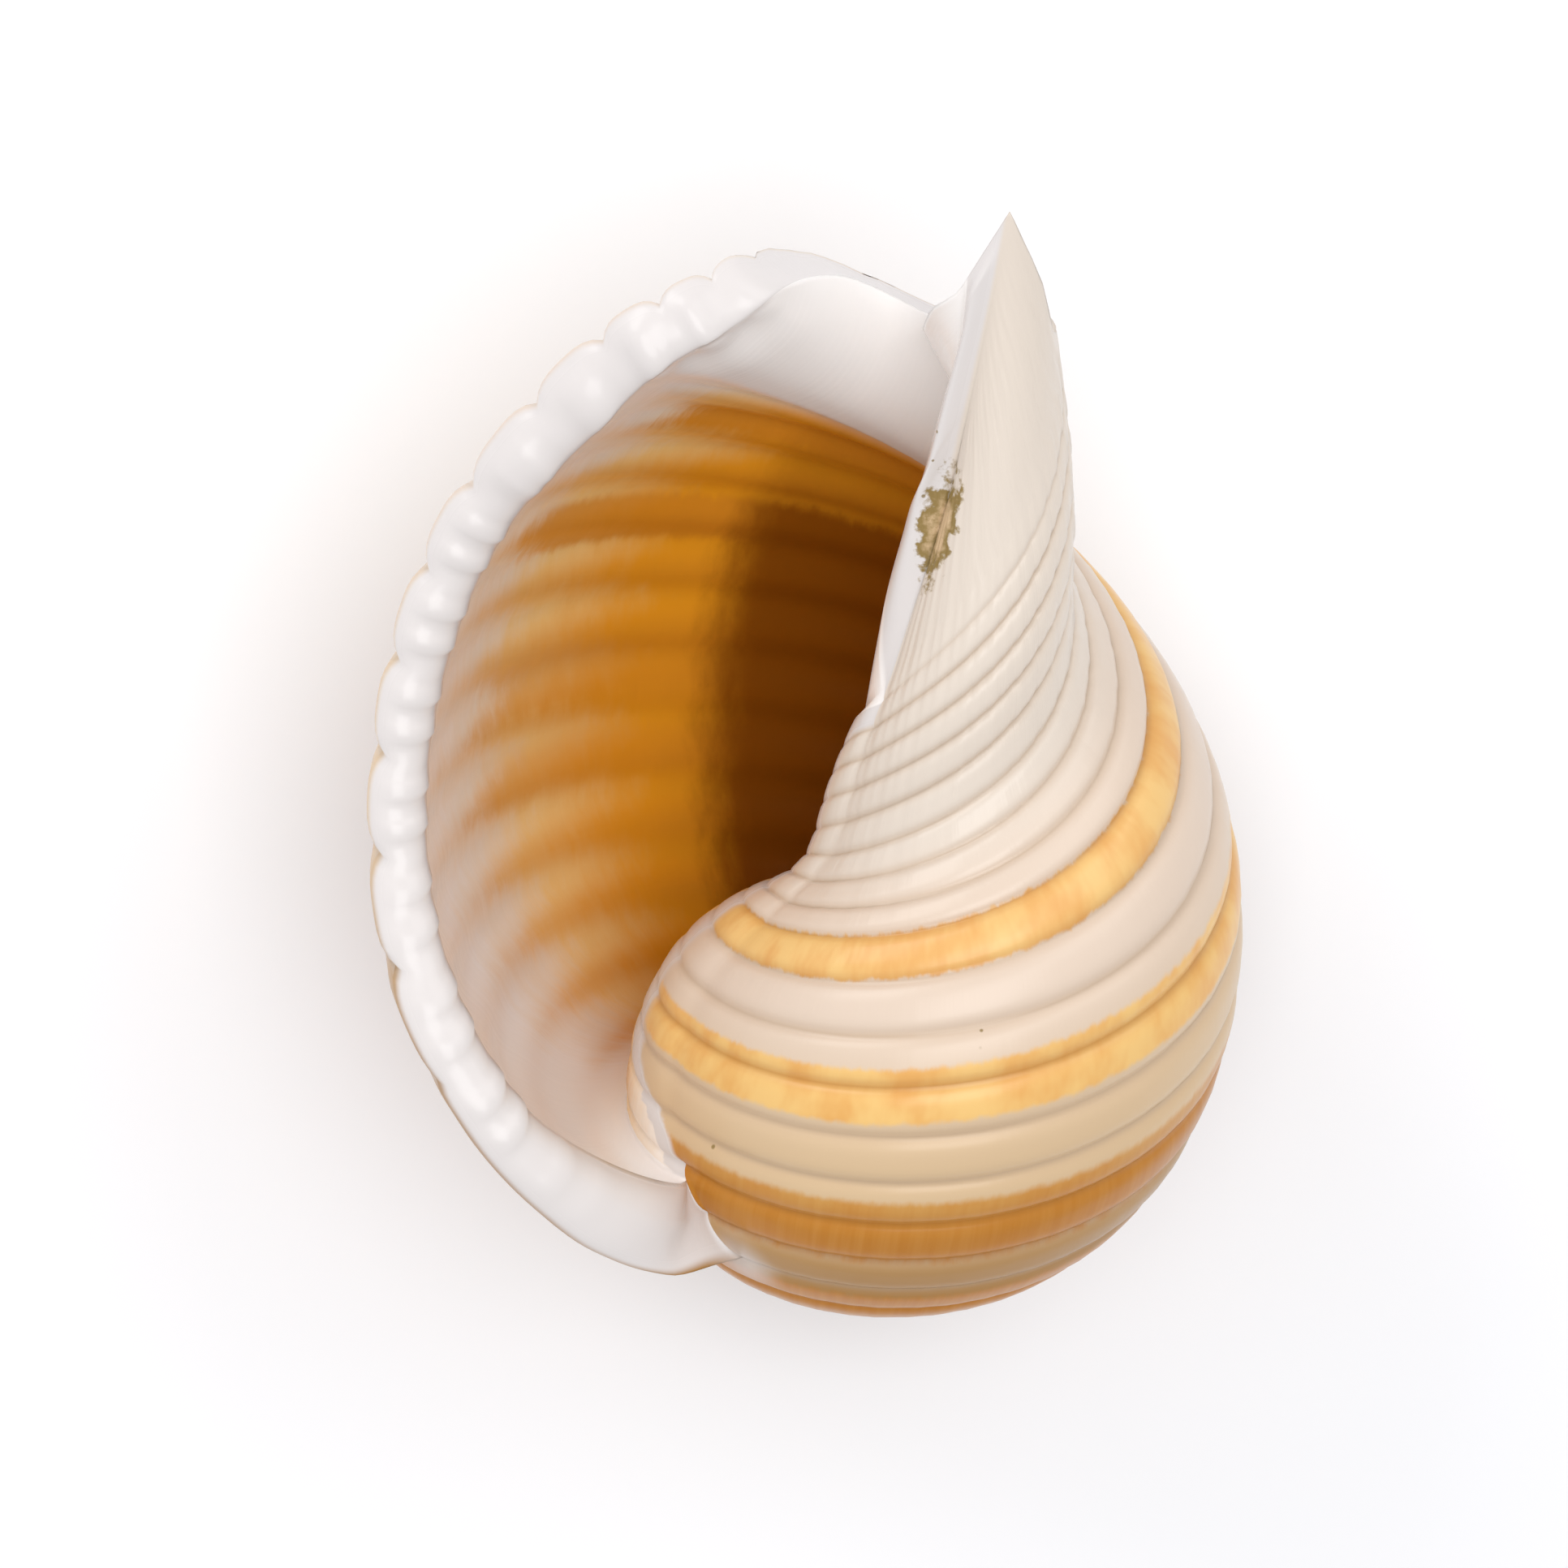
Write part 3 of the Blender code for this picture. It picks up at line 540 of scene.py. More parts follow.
def add_apex(surface, index, values, seam_row):
    """Blunt top of the first, smallest whorl: rings that shrink towards its middle, and the fan of
    triangles, returned for the mesh, that closes the last ring."""
    hole = np.r_[index[:COLUMNS, 0], index[0, seam_row:0:-1]]
    rim = surface.points[hole]
    top = rim.mean(0)
    top[2] = rim[:, 2].min() - TOP_RISE
    shrink = np.array(TOP_RINGS)[:, None, None]
    rings = surface.add(top * (1 - shrink) + rim * shrink)
    grid = np.vstack([hole, rings])
    grid = np.hstack([grid, grid[:, :1]])
    surface.join(grid, facts(grid.shape, angle=values[0, 0, 1], **TOP_FACTS))
    middle = surface.add(top[None])
    return np.stack([grid[-1, 1:], grid[-1, :-1], np.repeat(middle, len(hole))], -1).tolist()


def add_strip(surface, rows, index, seam_row, tooth_rise):
    """Strip round the opening, from the skin's edge inwards. Returns its inner ring, carried on
    along the whorl before, and where each of its points lies round the opening."""
    last = len(rows) - 1
    whorl = index[SPIRE_COLUMNS:]
    side = np.r_[whorl[COLUMNS], whorl[COLUMNS - 1::-1, last]]
    seat = whorl[0, seam_row:seam_row + STRIP_COLUMNS + 1]
    join = whorl[0, last - STRIP_COLUMNS:][::-1]
    notch_row = int(np.argmin(abs(rows - NOTCH_AT)))
    points, p = strip_points(rows, surface.points[side], surface.points[seat], notch_row, tooth_rise)
    strip = np.full(points.shape[:2], -1)
    strip[1:-1, 1:] = surface.add(points[1:-1, 1:])
    strip[:, 0] = side
    strip[0] = seat
    strip[-1] = join
    across = np.arange(STRIP_COLUMNS + 1) / STRIP_COLUMNS
    place = rows[np.minimum(np.arange(len(side)), last)]
    values = facts(strip.shape, place=place[:, None], angle=np.degrees(lip_angle(place))[:, None],
                   inner=across)
    surface.join(strip.T, values.transpose(1, 0, 2))
    rest = np.arange(last - STRIP_COLUMNS - 1, seam_row + STRIP_COLUMNS, -1)
    ring = np.r_[strip[:, -1], whorl[0, rest]]
    p[0], p[-1] = 0.0, 3.0
    return ring, np.r_[p, 3 + (JOIN_AT - rows[rest]) / (JOIN_AT - CORNER_AT)]


def add_inside(surface, ring, p, wall, corrugation):
    """Inside wall, wound inwards from the strip's inner ring, and the end that closes it. Its age
    is the turn since it grew. The colours of the skin go a little way in on the whorl before."""
    depth = np.array(DEPTHS, float)[:, None]
    lines = surface.add(inside(p[None], depth, wall, corrugation))
    grid = np.vstack([ring, lines])
    grid = np.hstack([grid, grid[:, :1]])
    p = np.r_[p, p[0] + 4][None]
    depth = np.vstack([[[0.0]], depth])
    on_wall = (p < 1) | (p >= 4)
    s = np.where(on_wall, NOTCH_AT * (p % 4), 0.0)
    angle = np.where(on_wall, np.degrees(lip_angle(s)), np.degrees(start_angle(place_before(p)))) - depth
    age = np.where(on_wall, 180 - angle, depth * 0.8)
    warmth = np.where(on_wall, 1 - ramp(s, 55.5, 59.0), ramp(p, 3.0, 3.3))
    at_seam = ramp(p, 3.78, 3.94)
    skin_like = ramp(p, 3.0, 3.06) * (1 - ramp(p, 3.96, 4.0)) * (p < 4)
    skin_like = skin_like * (1 - ramp(depth, 14.0 - 14.0 * at_seam, 40.0 - 33.0 * at_seam))
    place = np.where(on_wall, s, np.where(p < 3, COLUMELLA_PLACE, place_before(p)))
    wide_groove = (0.5 + 0.5 * rib_wave(place)) ** 1.5
    groove = np.where(on_wall, wide_groove, groove_depth(place) * skin_like)
    values = facts(grid.shape, place=place, angle=angle, inner=1 - skin_like,
                   behind_lip=FAR_BEHIND_LIP, age=age, warmth=warmth, groove=groove)
    surface.join(grid, values)
    end = lines[-1]
    half = len(end) // 2
    cap = np.stack([end[:half], end[:half - 1:-1][:half]])
    surface.join(cap, facts(cap.shape, inner=1.0, age=400.0, warmth=1.0))


def leaning_axis(raised, lean):
    """The shell's axis, raised from level and turned from +Y towards +X, and the level direction
    across it."""
    ahead = math.cos(raised)
    axis = np.array([math.sin(lean) * ahead, math.cos(lean) * ahead, math.sin(raised)])
    return axis, np.array([math.cos(lean), -math.sin(lean), 0.0])


def view_axes():
    """Rows that turn a direction in the camera's view into the shell's own frame."""
    axis, level = leaning_axis(math.radians(VIEW_AXIS_RAISED), math.radians(VIEW_AXIS_LEAN))
    return np.array([level, np.cross(axis, level), axis])


def rest_axes():
    """Columns that turn the shell's own frame to its rest, on its back with the opening up."""
    roll, raised, turn = np.radians([AXIS_ROLL, AXIS_RAISED, AXIS_TURN])
    axis, level = leaning_axis(raised, turn)
    right = level * math.cos(roll) + np.cross(axis, level) * math.sin(roll)
    return np.array([right, np.cross(axis, right), axis]).T


def lay_down(points):
    """The shell at rest, in metres, planed flat where it would reach below the floor."""
    laid = points @ rest_axes().T + np.array(APEX_PLACE)
    laid[:, 2] = np.maximum(laid[:, 2], 0.0)
    return laid * MM


def shell_mesh(name, form):
    """The whole surface as one closed mesh, with the facts as face-corner attributes."""
    rows = row_places()
    seam_row = int(np.argmin(abs(rows - SEAM_AT)))
    surface = Surface()
    index, values = add_skin(surface, rows, seam_row)
    fan = add_apex(surface, index, values, seam_row)
    ring, p = add_strip(surface, rows, index, seam_row, form.tooth_rise / MM)
    add_inside(surface, ring, p, form.wall / MM, form.corrugation / MM)
    quads = np.concatenate(surface.quads)
    corner_facts = np.concatenate(surface.quad_facts).reshape(-1, len(FACTS))
    fan_facts = np.broadcast_to(facts((1,), **TOP_FACTS), (3 * len(fan), len(FACTS)))
    mesh = bpy.data.meshes.new(name)
    mesh.from_pydata(lay_down(surface.points).tolist(), [], quads.tolist() + fan)
    for number, fact in enumerate(FACTS):
        layer = mesh.attributes.new(fact, "FLOAT", "CORNER")
        column = np.concatenate([corner_facts[:, number], fan_facts[:, number]])
        layer.data.foreach_set("value", column.astype(np.float32))
    mesh.shade_smooth()
    mesh.validate()
    return mesh


class Wiring:
    """Short ways to place and link nodes in one node tree."""

    def __init__(self, tree):
        self.tree = tree

    def node(self, kind, sockets=None, **settings):
        new = self.tree.nodes.new(kind)
        for name, value in settings.items():
            setattr(new, name, value)
        for name, value in (sockets or {}).items():
            self.feed(new.inputs[name], value)
        return new

    def feed(self, socket, value):
        if isinstance(value, bpy.types.NodeSocket):
            self.tree.links.new(value, socket)
        else:
            socket.default_value = value

    def math(self, operation, a, b=0.0):
        return self.node("ShaderNodeMath", {0: a, 1: b}, operation=operation).outputs[0]

    def plus(self, a, b):
        return self.math("ADD", a, b)

    def minus(self, a, b):
        return self.math("SUBTRACT", a, b)

    def times(self, a, b):
        return self.math("MULTIPLY", a, b)

    def larger(self, a, b):
        return self.math("MAXIMUM", a, b)

    def vector_math(self, operation, a, b=(0.0, 0.0, 0.0), result="Vector"):
        return self.node("ShaderNodeVectorMath", {0: a, 1: b}, operation=operation).outputs[result]

    def position(self):
        return self.node("ShaderNodeTexCoord").outputs["Object"]

    def fact(self, name):
        return self.node("ShaderNodeAttribute", attribute_name=name).outputs["Fac"]

    def step(self, value, start, end, low=0.0, high=1.0):
        """Smooth rise from low to high while the value goes from start to end."""
        sockets = {"Value": value, "From Min": start, "From Max": end, "To Min": low, "To Max": high}
        return self.node("ShaderNodeMapRange", sockets, interpolation_type="SMOOTHSTEP").outputs["Result"]

    def between(self, value, start, end, soft):
        """Mask that is 1 between two places, with soft edges."""
        rise = self.step(value, start - soft, start + soft)
        fall = self.step(value, end - soft, end + soft, 1.0, 0.0)
        return self.math("MULTIPLY", rise, fall)

    def mix(self, share, a, b):
        new = self.node("ShaderNodeMix", data_type="RGBA")
        for number, value in ((0, share), (6, a), (7, b)):
            self.feed(new.inputs[number], value)
        return new.outputs[2]

    def vector(self, x, y, z):
        return self.node("ShaderNodeCombineXYZ", {0: x, 1: y, 2: z}).outputs[0]

    def noise(self, vector, scale, detail=2.0, rough=0.5):
        sockets = {"Vector": vector, "Scale": scale, "Detail": detail, "Roughness": rough}
        return self.node("ShaderNodeTexNoise", sockets).outputs["Fac"]


def group_tree(name, inputs, outputs):
    """Empty shader node group with float inputs and the given outputs, and its wiring."""
    tree = bpy.data.node_groups.new(name, "ShaderNodeTree")
    for label, value in inputs:
        tree.interface.new_socket(label, in_out="INPUT", socket_type="NodeSocketFloat").default_value = value
    for label, kind in outputs:
        tree.interface.new_socket(label, in_out="OUTPUT", socket_type=kind)
    start = tree.nodes.new("NodeGroupInput")
    end = tree.nodes.new("NodeGroupOutput")
    return tree, Wiring(tree), start.outputs, end.inputs


def growth_line_group():
    """Fine lines that cross the ribs, slow patches and ragged edges: noise in (angle, place),
    stretched along the place so that it follows the old edges of the lip."""
    tree, w, given, out = group_tree(
        "growth_lines", [("Angle", 0.0), ("Place", 0.0)],
        [("Lines", "NodeSocketFloat"), ("Patches", "NodeSocketFloat"), ("Edge", "NodeSocketFloat")])
    angle, place = given["Angle"], given["Place"]
    fine = w.vector(w.times(angle, 0.5), w.times(place, 0.05), 0.0)
    w.feed(out["Lines"], w.noise(fine, 1.2, 2.0, 0.5))
    slow = w.vector(w.times(angle, 0.09), w.times(place, 0.12), 7.0)
    w.feed(out["Patches"], w.noise(slow, 1.0, 3.0, 0.6))
    ragged = w.vector(w.times(angle, 0.35), w.times(place, 0.3), 3.0)
    w.feed(out["Edge"], w.minus(w.noise(ragged, 1.0, 4.0, 0.62), 0.5))
    return tree


def rgba(color):
    """Colour with full opacity, as the sockets take it."""
    return (*color, 1.0)


# Coloured bands on the outside, as (start, end, softness of the edge, strength), by place
BANDS = [(51.7, 56.1, 0.22, 0.92), (38.4, 43.5, 0.35, 0.95), (22.6, 30.3, 0.5, 1.0),
         (5.0, 16.9, 0.5, 1.0)]
# Streaks on the inside that show the bands through the wall
STREAKS = [(51.9, 54.9, 0.7, 0.95), (39.6, 43.6, 0.5, 0.75), (27.6, 31.6, 0.9, 0.5),
           (21.8, 25.0, 0.9, 0.4)]

# Places over which the outside goes from one colour to the next
LOWER_GROUND_FROM = (49.0, 33.0)
SHOULDER_FROM = (31.0, 18.0)
BASE_FROM = (56.0, 66.0)
DARK_BANDS_FROM = (38.0, 25.0)

# Ages of the inside wall, in degrees of turn, over which it goes from one colour to the next
BEIGE_FROM = (-4.0, 16.0)
LIGHT_FROM = (12.0, 30.0)
ORANGE_FROM = (24.0, 52.0)
STRIPES_FROM = (4.0, 28.0)
STREAKS_FROM = (13.0, 27.0)
BROWN_FROM = (54.0, 66.0)


def striped(w, at, stripes):
    """Mask of a list of stripes: the strongest of them at each place."""
    mask = 0.0
    for start, end, soft, strength in stripes:
        mask = w.larger(mask, w.times(w.between(at, start, end, soft), strength))
    return mask


def outside_color(w, colors, place, lines):
    """Cream ground, orange bands with uneven edges, tan towards the shoulder, white at the lip, and painted
    shade in the grooves between the ribs.
    """
    bands = striped(w, w.plus(place, w.times(lines["Edge"], 1.1)), BANDS)
    ground = w.mix(w.step(place, *LOWER_GROUND_FROM), rgba(colors.ground), rgba(colors.ground_shade))
    ground = w.mix(w.step(place, *SHOULDER_FROM), ground, rgba(colors.shoulder))
    ground = w.mix(w.step(place, *BASE_FROM), ground, rgba(colors.base_white))
    # Painted shade: a tan tint mixed into the grooves between the ribs, where shade falls.
    ground = w.mix(w.times(w.fact("groove"), 0.62), ground, rgba(colors.groove))
    band = w.mix(w.step(lines["Patches"], 0.35, 0.7), rgba(colors.band_light), rgba(colors.band))
    band = w.mix(w.step(place, *DARK_BANDS_FROM), band, rgba(colors.band_dark))
    band = w.mix(w.times(w.step(lines["Lines"], 0.3, 0.75), 0.08), band, rgba(colors.band_light))
    # Painted shade: the bands darken to brown-orange in the grooves, where shade falls.
    band = w.mix(w.times(w.fact("groove"), 0.6), band, rgba(colors.band_dark))
    near_lip = w.step(w.fact("behind_lip"), 2.0, 9.0)
    return w.mix(w.times(bands, near_lip), ground, band)


def inside_color(w, colors, place, lines):
    """White near the lip, brightened as painted light, then orange, brown where the wall is oldest, with
    streaks of the bands.
    The change comes later on the base and sooner in the grooves."""
    age, warmth, groove = w.fact("age"), w.fact("warmth"), w.fact("groove")
    later = w.minus(w.times(w.step(place, 44.0, 50.0), 12.0), w.times(groove, 7.0))
    age_here = w.minus(w.plus(age, w.times(lines["Edge"], 14.0)), later)
    beige = w.times(w.times(w.step(age_here, *BEIGE_FROM), warmth), 0.9)
    # Painted light: the inside white is brighter than the lip's own white, to stand in for light on the
    # shaded inner wall.
    color = w.mix(beige, rgba(colors.inside_white_painted_light), rgba(colors.inside_beige))
    orange = w.mix(w.step(age_here, *ORANGE_FROM), rgba(colors.inside_light), rgba(colors.inside_orange))
    color = w.mix(w.times(w.step(age_here, *LIGHT_FROM), warmth), color, orange)
    stripes = w.times(w.times(groove, warmth), w.step(age_here, *STRIPES_FROM, 0.06, 0.42))
    color = w.mix(stripes, color, rgba(colors.inside_streak))
    at = w.plus(place, w.times(lines["Edge"], 1.4))
    streaks = w.times(striped(w, at, STREAKS), w.step(age_here, *STREAKS_FROM))
    color = w.mix(streaks, color, rgba(colors.inside_streak))
    old = w.times(w.step(w.plus(age, w.times(lines["Edge"], 6.0)), *BROWN_FROM), warmth)
    color = w.mix(w.times(old, w.step(at, 43.0, 44.4, 1.0, 0.0)), color, rgba(colors.inside_brown))
    return w.mix(w.times(old, w.step(at, 43.0, 57.0, 0.5, 0.15)), color, rgba(colors.inside_brown))


def distance_to(w, point):
    """Distance of the shaded point from a place on the shell, in metres."""
    return w.vector_math("DISTANCE", w.position(), tuple(point), "Value")


# Distances in metres over which the glaze at the seam grows
SEAM_GLAZE_REACH = (0.004, 0.0005)


def seam_glaze(w, color, colors):
    """White glaze round the place where the lip ends on the seam."""
    end = lay_down(skin(lip_angle(np.zeros(1)), np.zeros(1)))[0]
    share = w.times(w.step(distance_to(w, end), *SEAM_GLAZE_REACH), 0.6)
    return w.mix(share, color, rgba(colors.lip_white))


# Marks on the columella, in millimetres of the frame: the stain's middle, the way it runs, half its
# length and width; then small dark specks as (place, radius)
STAIN_AT = (6.4, 20.9, 50.5)
STAIN_RUN = (0.18, 0.92, 0.35)
STAIN_SIZE = (4.6, 1.8)
SPECKS = [((5.8, 27.9, 52.9), 0.16), ((5.7, 25.8, 51.9), 0.14), ((5.3, 23.2, 50.3), 0.2),
          ((10.0, -17.4, 50.7), 0.3), ((10.1, -16.2, 50.6), 0.2), ((-8.3, -26.4, 39.0), 0.25),
          ((9.6, 24.3, 53.9), 0.1), ((-14.5, -25.0, 38.0), 0.12)]


def stained(w, color, colors):
    """Olive stain with a ragged dark rim and a pale middle, and a few small specks. The stain is an
    ellipsoid round its run: the way along it and the way off it, each as a share of its half."""
    here = w.position()
    offset = w.vector_math("SUBTRACT", here, tuple(MM * v for v in STAIN_AT))
    along = w.vector_math("DOT_PRODUCT", offset, STAIN_RUN, "Value")
    length = w.vector_math("LENGTH", offset, result="Value")
    off_square = w.minus(w.times(length, length), w.times(along, along))
    far = w.math("DIVIDE", along, STAIN_SIZE[0] * MM)
    side = w.math("DIVIDE", off_square, (STAIN_SIZE[1] * MM) ** 2)
    away = w.math("SQRT", w.larger(w.plus(w.times(far, far), side), 0.0))
    wobble = w.times(w.minus(w.noise(here, 900.0, 4.0, 0.6), 0.5), 1.5)
    ragged = w.plus(away, wobble)
    rim = w.times(w.step(ragged, 0.25, 0.75), 0.85)
    mark = w.mix(rim, rgba(colors.ground_shade), rgba(colors.stain))
    color = w.mix(w.step(ragged, 1.05, 0.8), color, mark)
    for place, radius in SPECKS:
        dot = w.step(distance_to(w, [MM * v for v in place]), radius * MM, radius * MM * 0.5)
        color = w.mix(w.times(dot, 0.8), color, rgba(colors.stain))
    return color


def shell_material(colors):
    """Glossy porcelain shell: bands outside, orange and brown inside, white lip and columella."""
    material = bpy.data.materials.new("banded_porcelain")
    material.use_nodes = True
    tree = material.node_tree
    tree.nodes.clear()
    w = Wiring(tree)
    place, angle = w.fact("place"), w.fact("angle")
    growth = w.node("ShaderNodeGroup", node_tree=growth_line_group())
    w.feed(growth.inputs["Angle"], angle)
    w.feed(growth.inputs["Place"], place)
    lines = growth.outputs
    inner = w.fact("inner")
    color = outside_color(w, colors, place, lines)
    color = w.mix(w.step(inner, 0.02, 0.2), color, rgba(colors.lip_white))
    color = w.mix(w.step(inner, 0.93, 1.0), color, inside_color(w, colors, place, lines))
    color = seam_glaze(w, color, colors)
    color = stained(w, color, colors)
    satin = w.step(inner, 0.0, 1.0, 0.29, 0.2)
    bump = w.node("ShaderNodeBump", {"Height": lines["Lines"], "Strength": 0.1, "Distance": 0.0002})
    sockets = {"Base Color": color, "Roughness": satin, "Normal": bump.outputs["Normal"], "IOR": 1.42}
    surface = w.node("ShaderNodeBsdfPrincipled", sockets)
    end = tree.nodes.new("ShaderNodeOutputMaterial")
    tree.links.new(surface.outputs[0], end.inputs["Surface"])
    return material


PAPER_GRAIN = (0.8, 0.8, 0.82)


def floor_material(color):
    """Matt pale paper with a very faint grain."""
    material = bpy.data.materials.new("pale_paper")
    material.use_nodes = True
    w = Wiring(material.node_tree)
    surface = material.node_tree.nodes["Principled BSDF"]
    grain = w.times(w.noise(w.position(), 900.0), 0.03)
    w.feed(surface.inputs["Base Color"], w.mix(grain, rgba(color), rgba(PAPER_GRAIN)))
    surface.inputs["Roughness"].default_value = 0.9
    return material


def color_property(name, description, default):
    return bpy.props.FloatVectorProperty(name=name, description=description, subtype="COLOR",
                                         size=3, min=0.0, max=1.0, default=default)


class TunShellForm(bpy.types.PropertyGroup):
    """Sizes that a user would change."""

    wall: bpy.props.FloatProperty(
        name="Wall", description="Thickness of the shell's wall behind the lip", unit="LENGTH",
        default=0.002, min=0.001, max=0.003)
    tooth_rise: bpy.props.FloatProperty(
        name="Tooth rise", description="How far the teeth stand out of the lip", unit="LENGTH",
        default=0.0005, min=0.0, max=0.0015)
    corrugation: bpy.props.FloatProperty(
        name="Corrugation", description="Height of the soft waves on the inside wall", unit="LENGTH",
        default=0.00035, min=0.0, max=0.0006)


class TunShellColors(bpy.types.PropertyGroup):
    """Colours that a user would change."""

    ground: color_property("Ground", "Cream between the bands", (0.73, 0.59, 0.475))
    ground_shade: color_property("Lower ground", "Yellower cream near the shoulder", (0.67, 0.48, 0.285))
    shoulder: color_property("Shoulder", "Tan of the shoulder", (0.38, 0.19, 0.045))
    base_white: color_property("Base white", "White of the base and the canal", (0.74, 0.65, 0.56))
    # Painted shade: the tan tint that stands for the shade in the grooves on the outside.
    groove: color_property("Groove", "Tan in the grooves between the ribs", (0.54, 0.39, 0.26))
    stain: color_property("Stain", "Olive brown of the stain on the columella", (0.22, 0.145, 0.025))
    lip_white: color_property("Lip white", "White of the lip and the columella", (0.73, 0.685, 0.665))
    band: color_property("Band", "Orange of the bands", (0.78, 0.39, 0.095))
    band_light: color_property("Light band", "Yellow patches in the bands", (0.86, 0.54, 0.18))
    band_dark: color_property("Dark band", "Brown-orange near the shoulder", (0.47, 0.175, 0.012))
    # Painted light: a brighter copy of the lip's white that stands in for light on the shaded inside.
    inside_white_painted_light: color_property("Inside white", "White just inside the lip", (0.97, 0.93, 0.90))
    inside_beige: color_property("Inside beige", "Beige behind the lip", (0.92, 0.77, 0.60))
    inside_light: color_property("Inside light", "Light orange of the inside", (0.97, 0.64, 0.25))
    inside_orange: color_property("Inside orange", "Full orange of the inside", (0.89, 0.37, 0.018))
    inside_streak: color_property("Inside streak", "Streaks where the bands show through", (0.72, 0.27, 0.02))
    inside_brown: color_property("Inside brown", "Dark brown of the oldest part", (0.27, 0.08, 0.004))


class TunShellStage(bpy.types.PropertyGroup):
    """Floor and light."""

    floor_width: bpy.props.FloatProperty(
        name="Floor width", description="Width of the floor", unit="LENGTH", default=3.0, min=0.5)
    floor_color: color_property("Floor", "Colour of the floor", (0.93, 0.93, 0.94))
    key_power: bpy.props.FloatProperty(
        name="Key light", description="Power of the main light in watts", default=3.0, min=0.0)
    sky: bpy.props.FloatProperty(
        name="Sky", description="Strength of the even light from all round", default=0.62, min=0.0)


class SHELL_OT_tun(bpy.types.Operator):
    """Builds the shell's surface in place of the plain solid"""

    bl_idname = "mesh.add_banded_tun_shell"
    bl_label = "Banded Tun Shell"

    def execute(self, context):
        scene = context.scene
        mesh = shell_mesh("tun_shell", scene.tun_shell_form)
        mesh.materials.append(shell_material(scene.tun_shell_colors))
        piece = bpy.data.objects.new("tun_shell", mesh)
        scene.collection.objects.link(piece)
        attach(piece, "root")
        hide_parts("shell")
        return {"FINISHED"}


def view_to_frame():
    """Turn from the camera's view to the frame, and the camera's place in millimetres."""
    turn = rest_axes() @ view_axes()
    place = turn @ (np.array([0, 0, VIEW_DISTANCE]) - np.array(VIEW_APEX)) + np.array(APEX_PLACE)
    return turn, place


# Lights, as (name, direction in the camera's view, distance, size, share of the key power)
LIGHTS = [("key", (-0.7, 0.8, 0.8), 0.8, 0.4, 0.55), ("front", (0.1, -0.1, 1.0), 0.75, 0.5, 0.85),
          ("side", (0.8, 0.6, 0.9), 0.8, 0.5, 0.3)]
LIGHTS_AIM = np.array([0.0, 0.0, 0.03])
SKY_COLOR = (0.96, 0.97, 1.0)


def add_light(name, turn, direction, distance, size, power):
    """Square soft light, placed by a direction in the camera's view and turned to the shell."""
    data = bpy.data.lights.new(name, "AREA")
    data.size = size
    data.energy = power
    light = bpy.data.objects.new(name, data)
    bpy.context.scene.collection.objects.link(light)
    away = turn @ (np.array(direction) / np.linalg.norm(direction))
    side = np.cross([0.0, 1.0, 0.0], away)
    side /= np.linalg.norm(side)
    axes = np.array([side, np.cross(away, side), away]).T
    light.matrix_world = Matrix.Translation(LIGHTS_AIM + away * distance) @ Matrix(axes.tolist()).to_4x4()


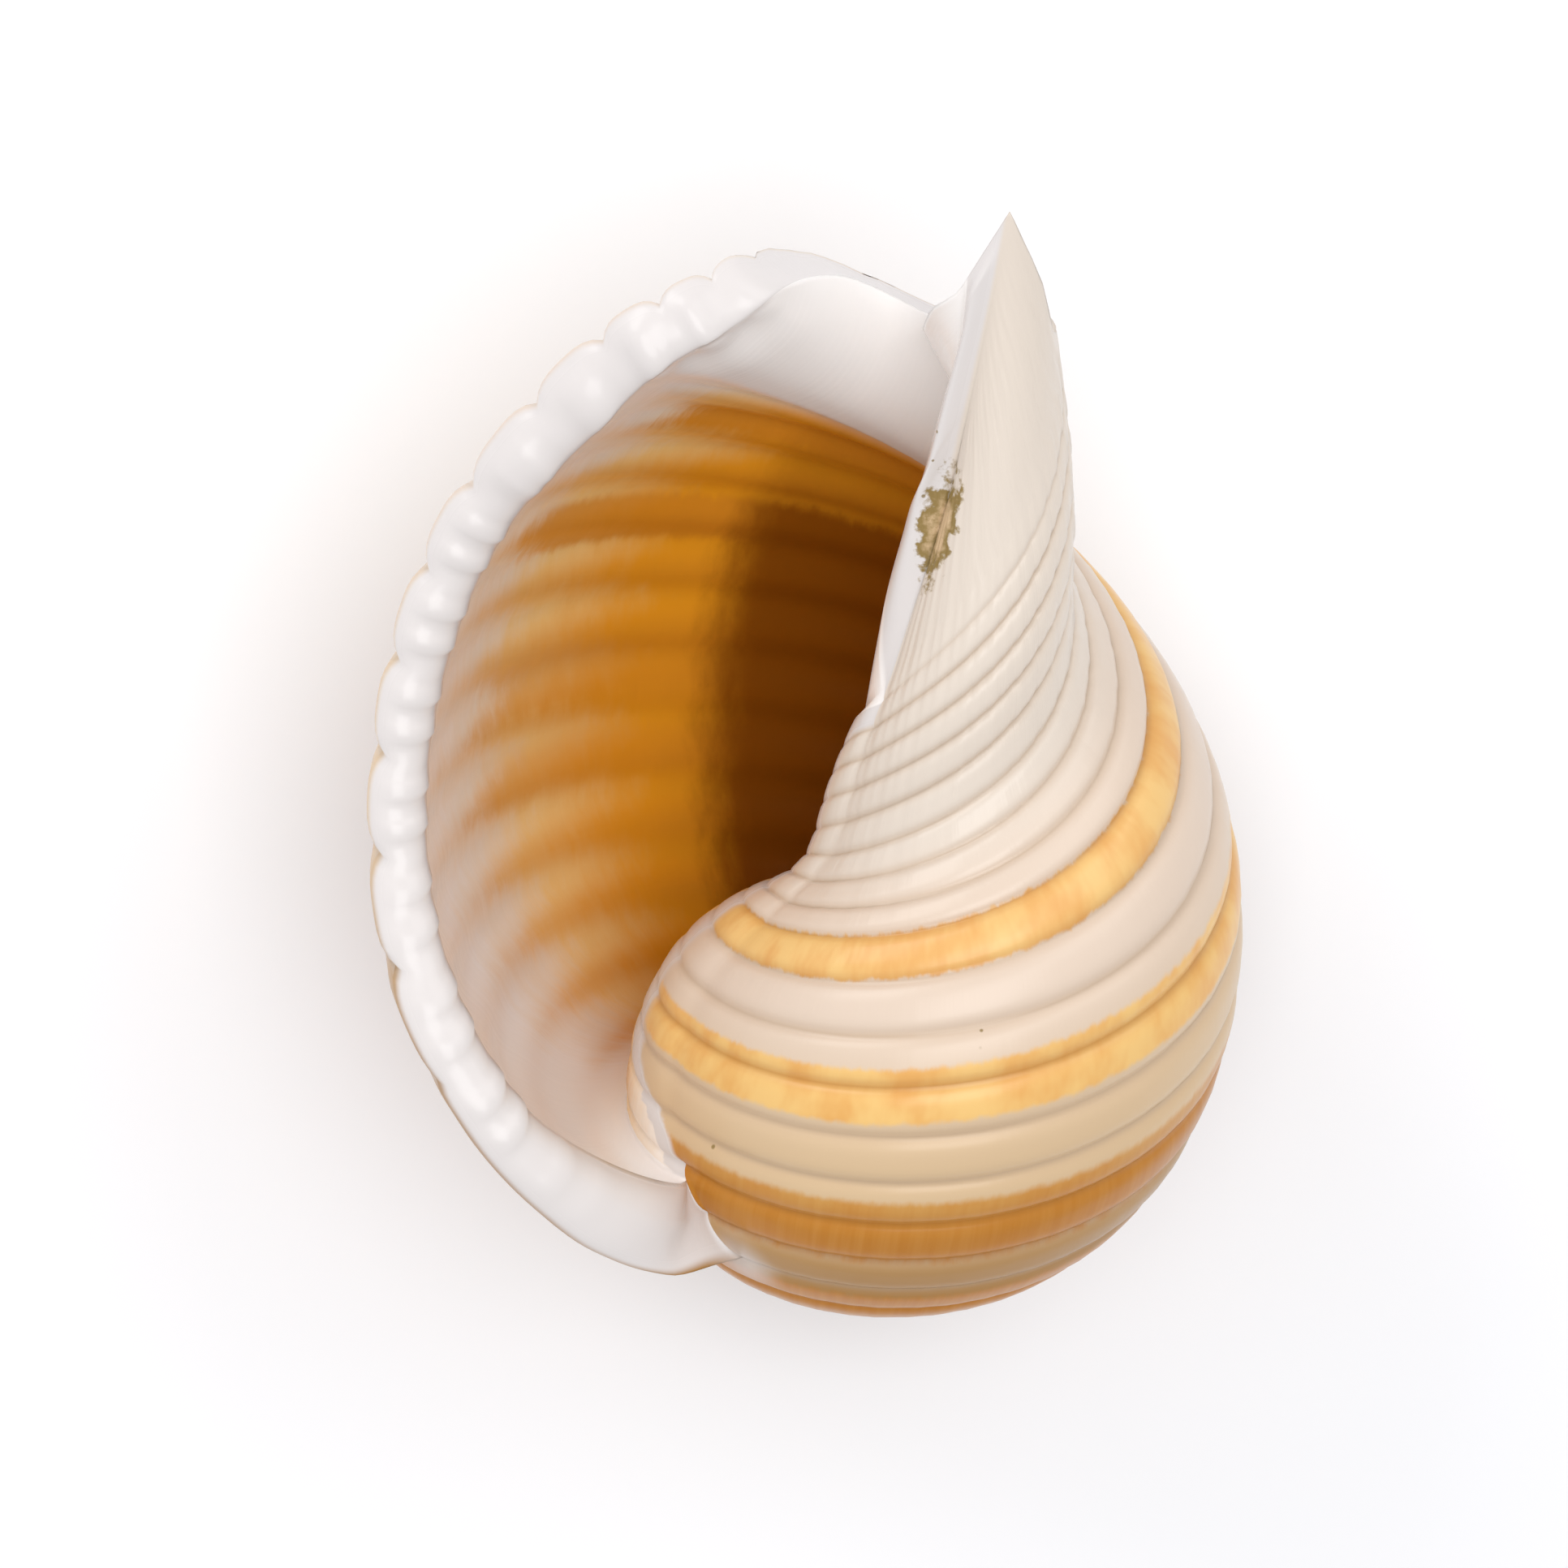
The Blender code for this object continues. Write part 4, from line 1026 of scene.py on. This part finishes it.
class SHELL_OT_stage(bpy.types.Operator):
    """Adds the pale floor, the soft light and the camera"""

    bl_idname = "scene.add_tun_shell_stage"
    bl_label = "Floor, Light and Camera"

    def execute(self, context):
        scene = context.scene
        stage = scene.tun_shell_stage
        half = stage.floor_width / 2
        mesh = bpy.data.meshes.new("floor")
        corners = [(-half, -half, 0), (half, -half, 0), (half, half, 0), (-half, half, 0)]
        mesh.from_pydata(corners, [], [(0, 1, 2, 3)])
        mesh.materials.append(floor_material(stage.floor_color))
        floor = bpy.data.objects.new("floor", mesh)
        scene.collection.objects.link(floor)

        turn, place = view_to_frame()
        camera = bpy.data.objects.new("camera", bpy.data.cameras.new("camera"))
        camera.data.sensor_width = SENSOR
        camera.data.lens = VIEW_LENS
        camera.data.clip_start = 0.01
        camera.matrix_world = Matrix.Translation(place * MM) @ Matrix(turn.tolist()).to_4x4()
        scene.collection.objects.link(camera)
        scene.camera = camera

        for name, direction, distance, size, share in LIGHTS:
            add_light(name, turn, direction, distance, size, stage.key_power * share)
        world = bpy.data.worlds.new("sky")
        world.use_nodes = True
        background = world.node_tree.nodes["Background"]
        background.inputs["Color"].default_value = rgba(SKY_COLOR)
        background.inputs["Strength"].default_value = stage.sky
        scene.world = world
        scene.view_settings.view_transform = "Standard"
        return {"FINISHED"}


class SHELL_PT_panel(bpy.types.Panel):
    """Sidebar panel that lists the sizes, the colours and the two operators"""

    bl_idname = "SHELL_PT_panel"
    bl_label = "Banded Tun Shell"
    bl_space_type = "VIEW_3D"
    bl_region_type = "UI"
    bl_category = "Tun Shell"

    def draw(self, context):
        scene = context.scene
        for group in (scene.tun_shell_form, scene.tun_shell_colors, scene.tun_shell_stage):
            box = self.layout.box()
            for name in group.bl_rna.properties.keys():
                if name not in {"rna_type", "name"}:
                    box.prop(group, name)
        self.layout.operator(SHELL_OT_tun.bl_idname)
        self.layout.operator(SHELL_OT_stage.bl_idname)


CLASSES = (TunShellForm, TunShellColors, TunShellStage, SHELL_OT_tun, SHELL_OT_stage, SHELL_PT_panel)


def register():
    for item in CLASSES:
        bpy.utils.register_class(item)
    bpy.types.Scene.tun_shell_form = bpy.props.PointerProperty(type=TunShellForm)
    bpy.types.Scene.tun_shell_colors = bpy.props.PointerProperty(type=TunShellColors)
    bpy.types.Scene.tun_shell_stage = bpy.props.PointerProperty(type=TunShellStage)


def unregister():
    del bpy.types.Scene.tun_shell_stage
    del bpy.types.Scene.tun_shell_colors
    del bpy.types.Scene.tun_shell_form
    for item in reversed(CLASSES):
        bpy.utils.unregister_class(item)


def main():
    """Builds the shell and the stage."""
    register()
    bpy.ops.mesh.add_banded_tun_shell()
    bpy.ops.scene.add_tun_shell_stage()


if __name__ == "__main__":
    main()
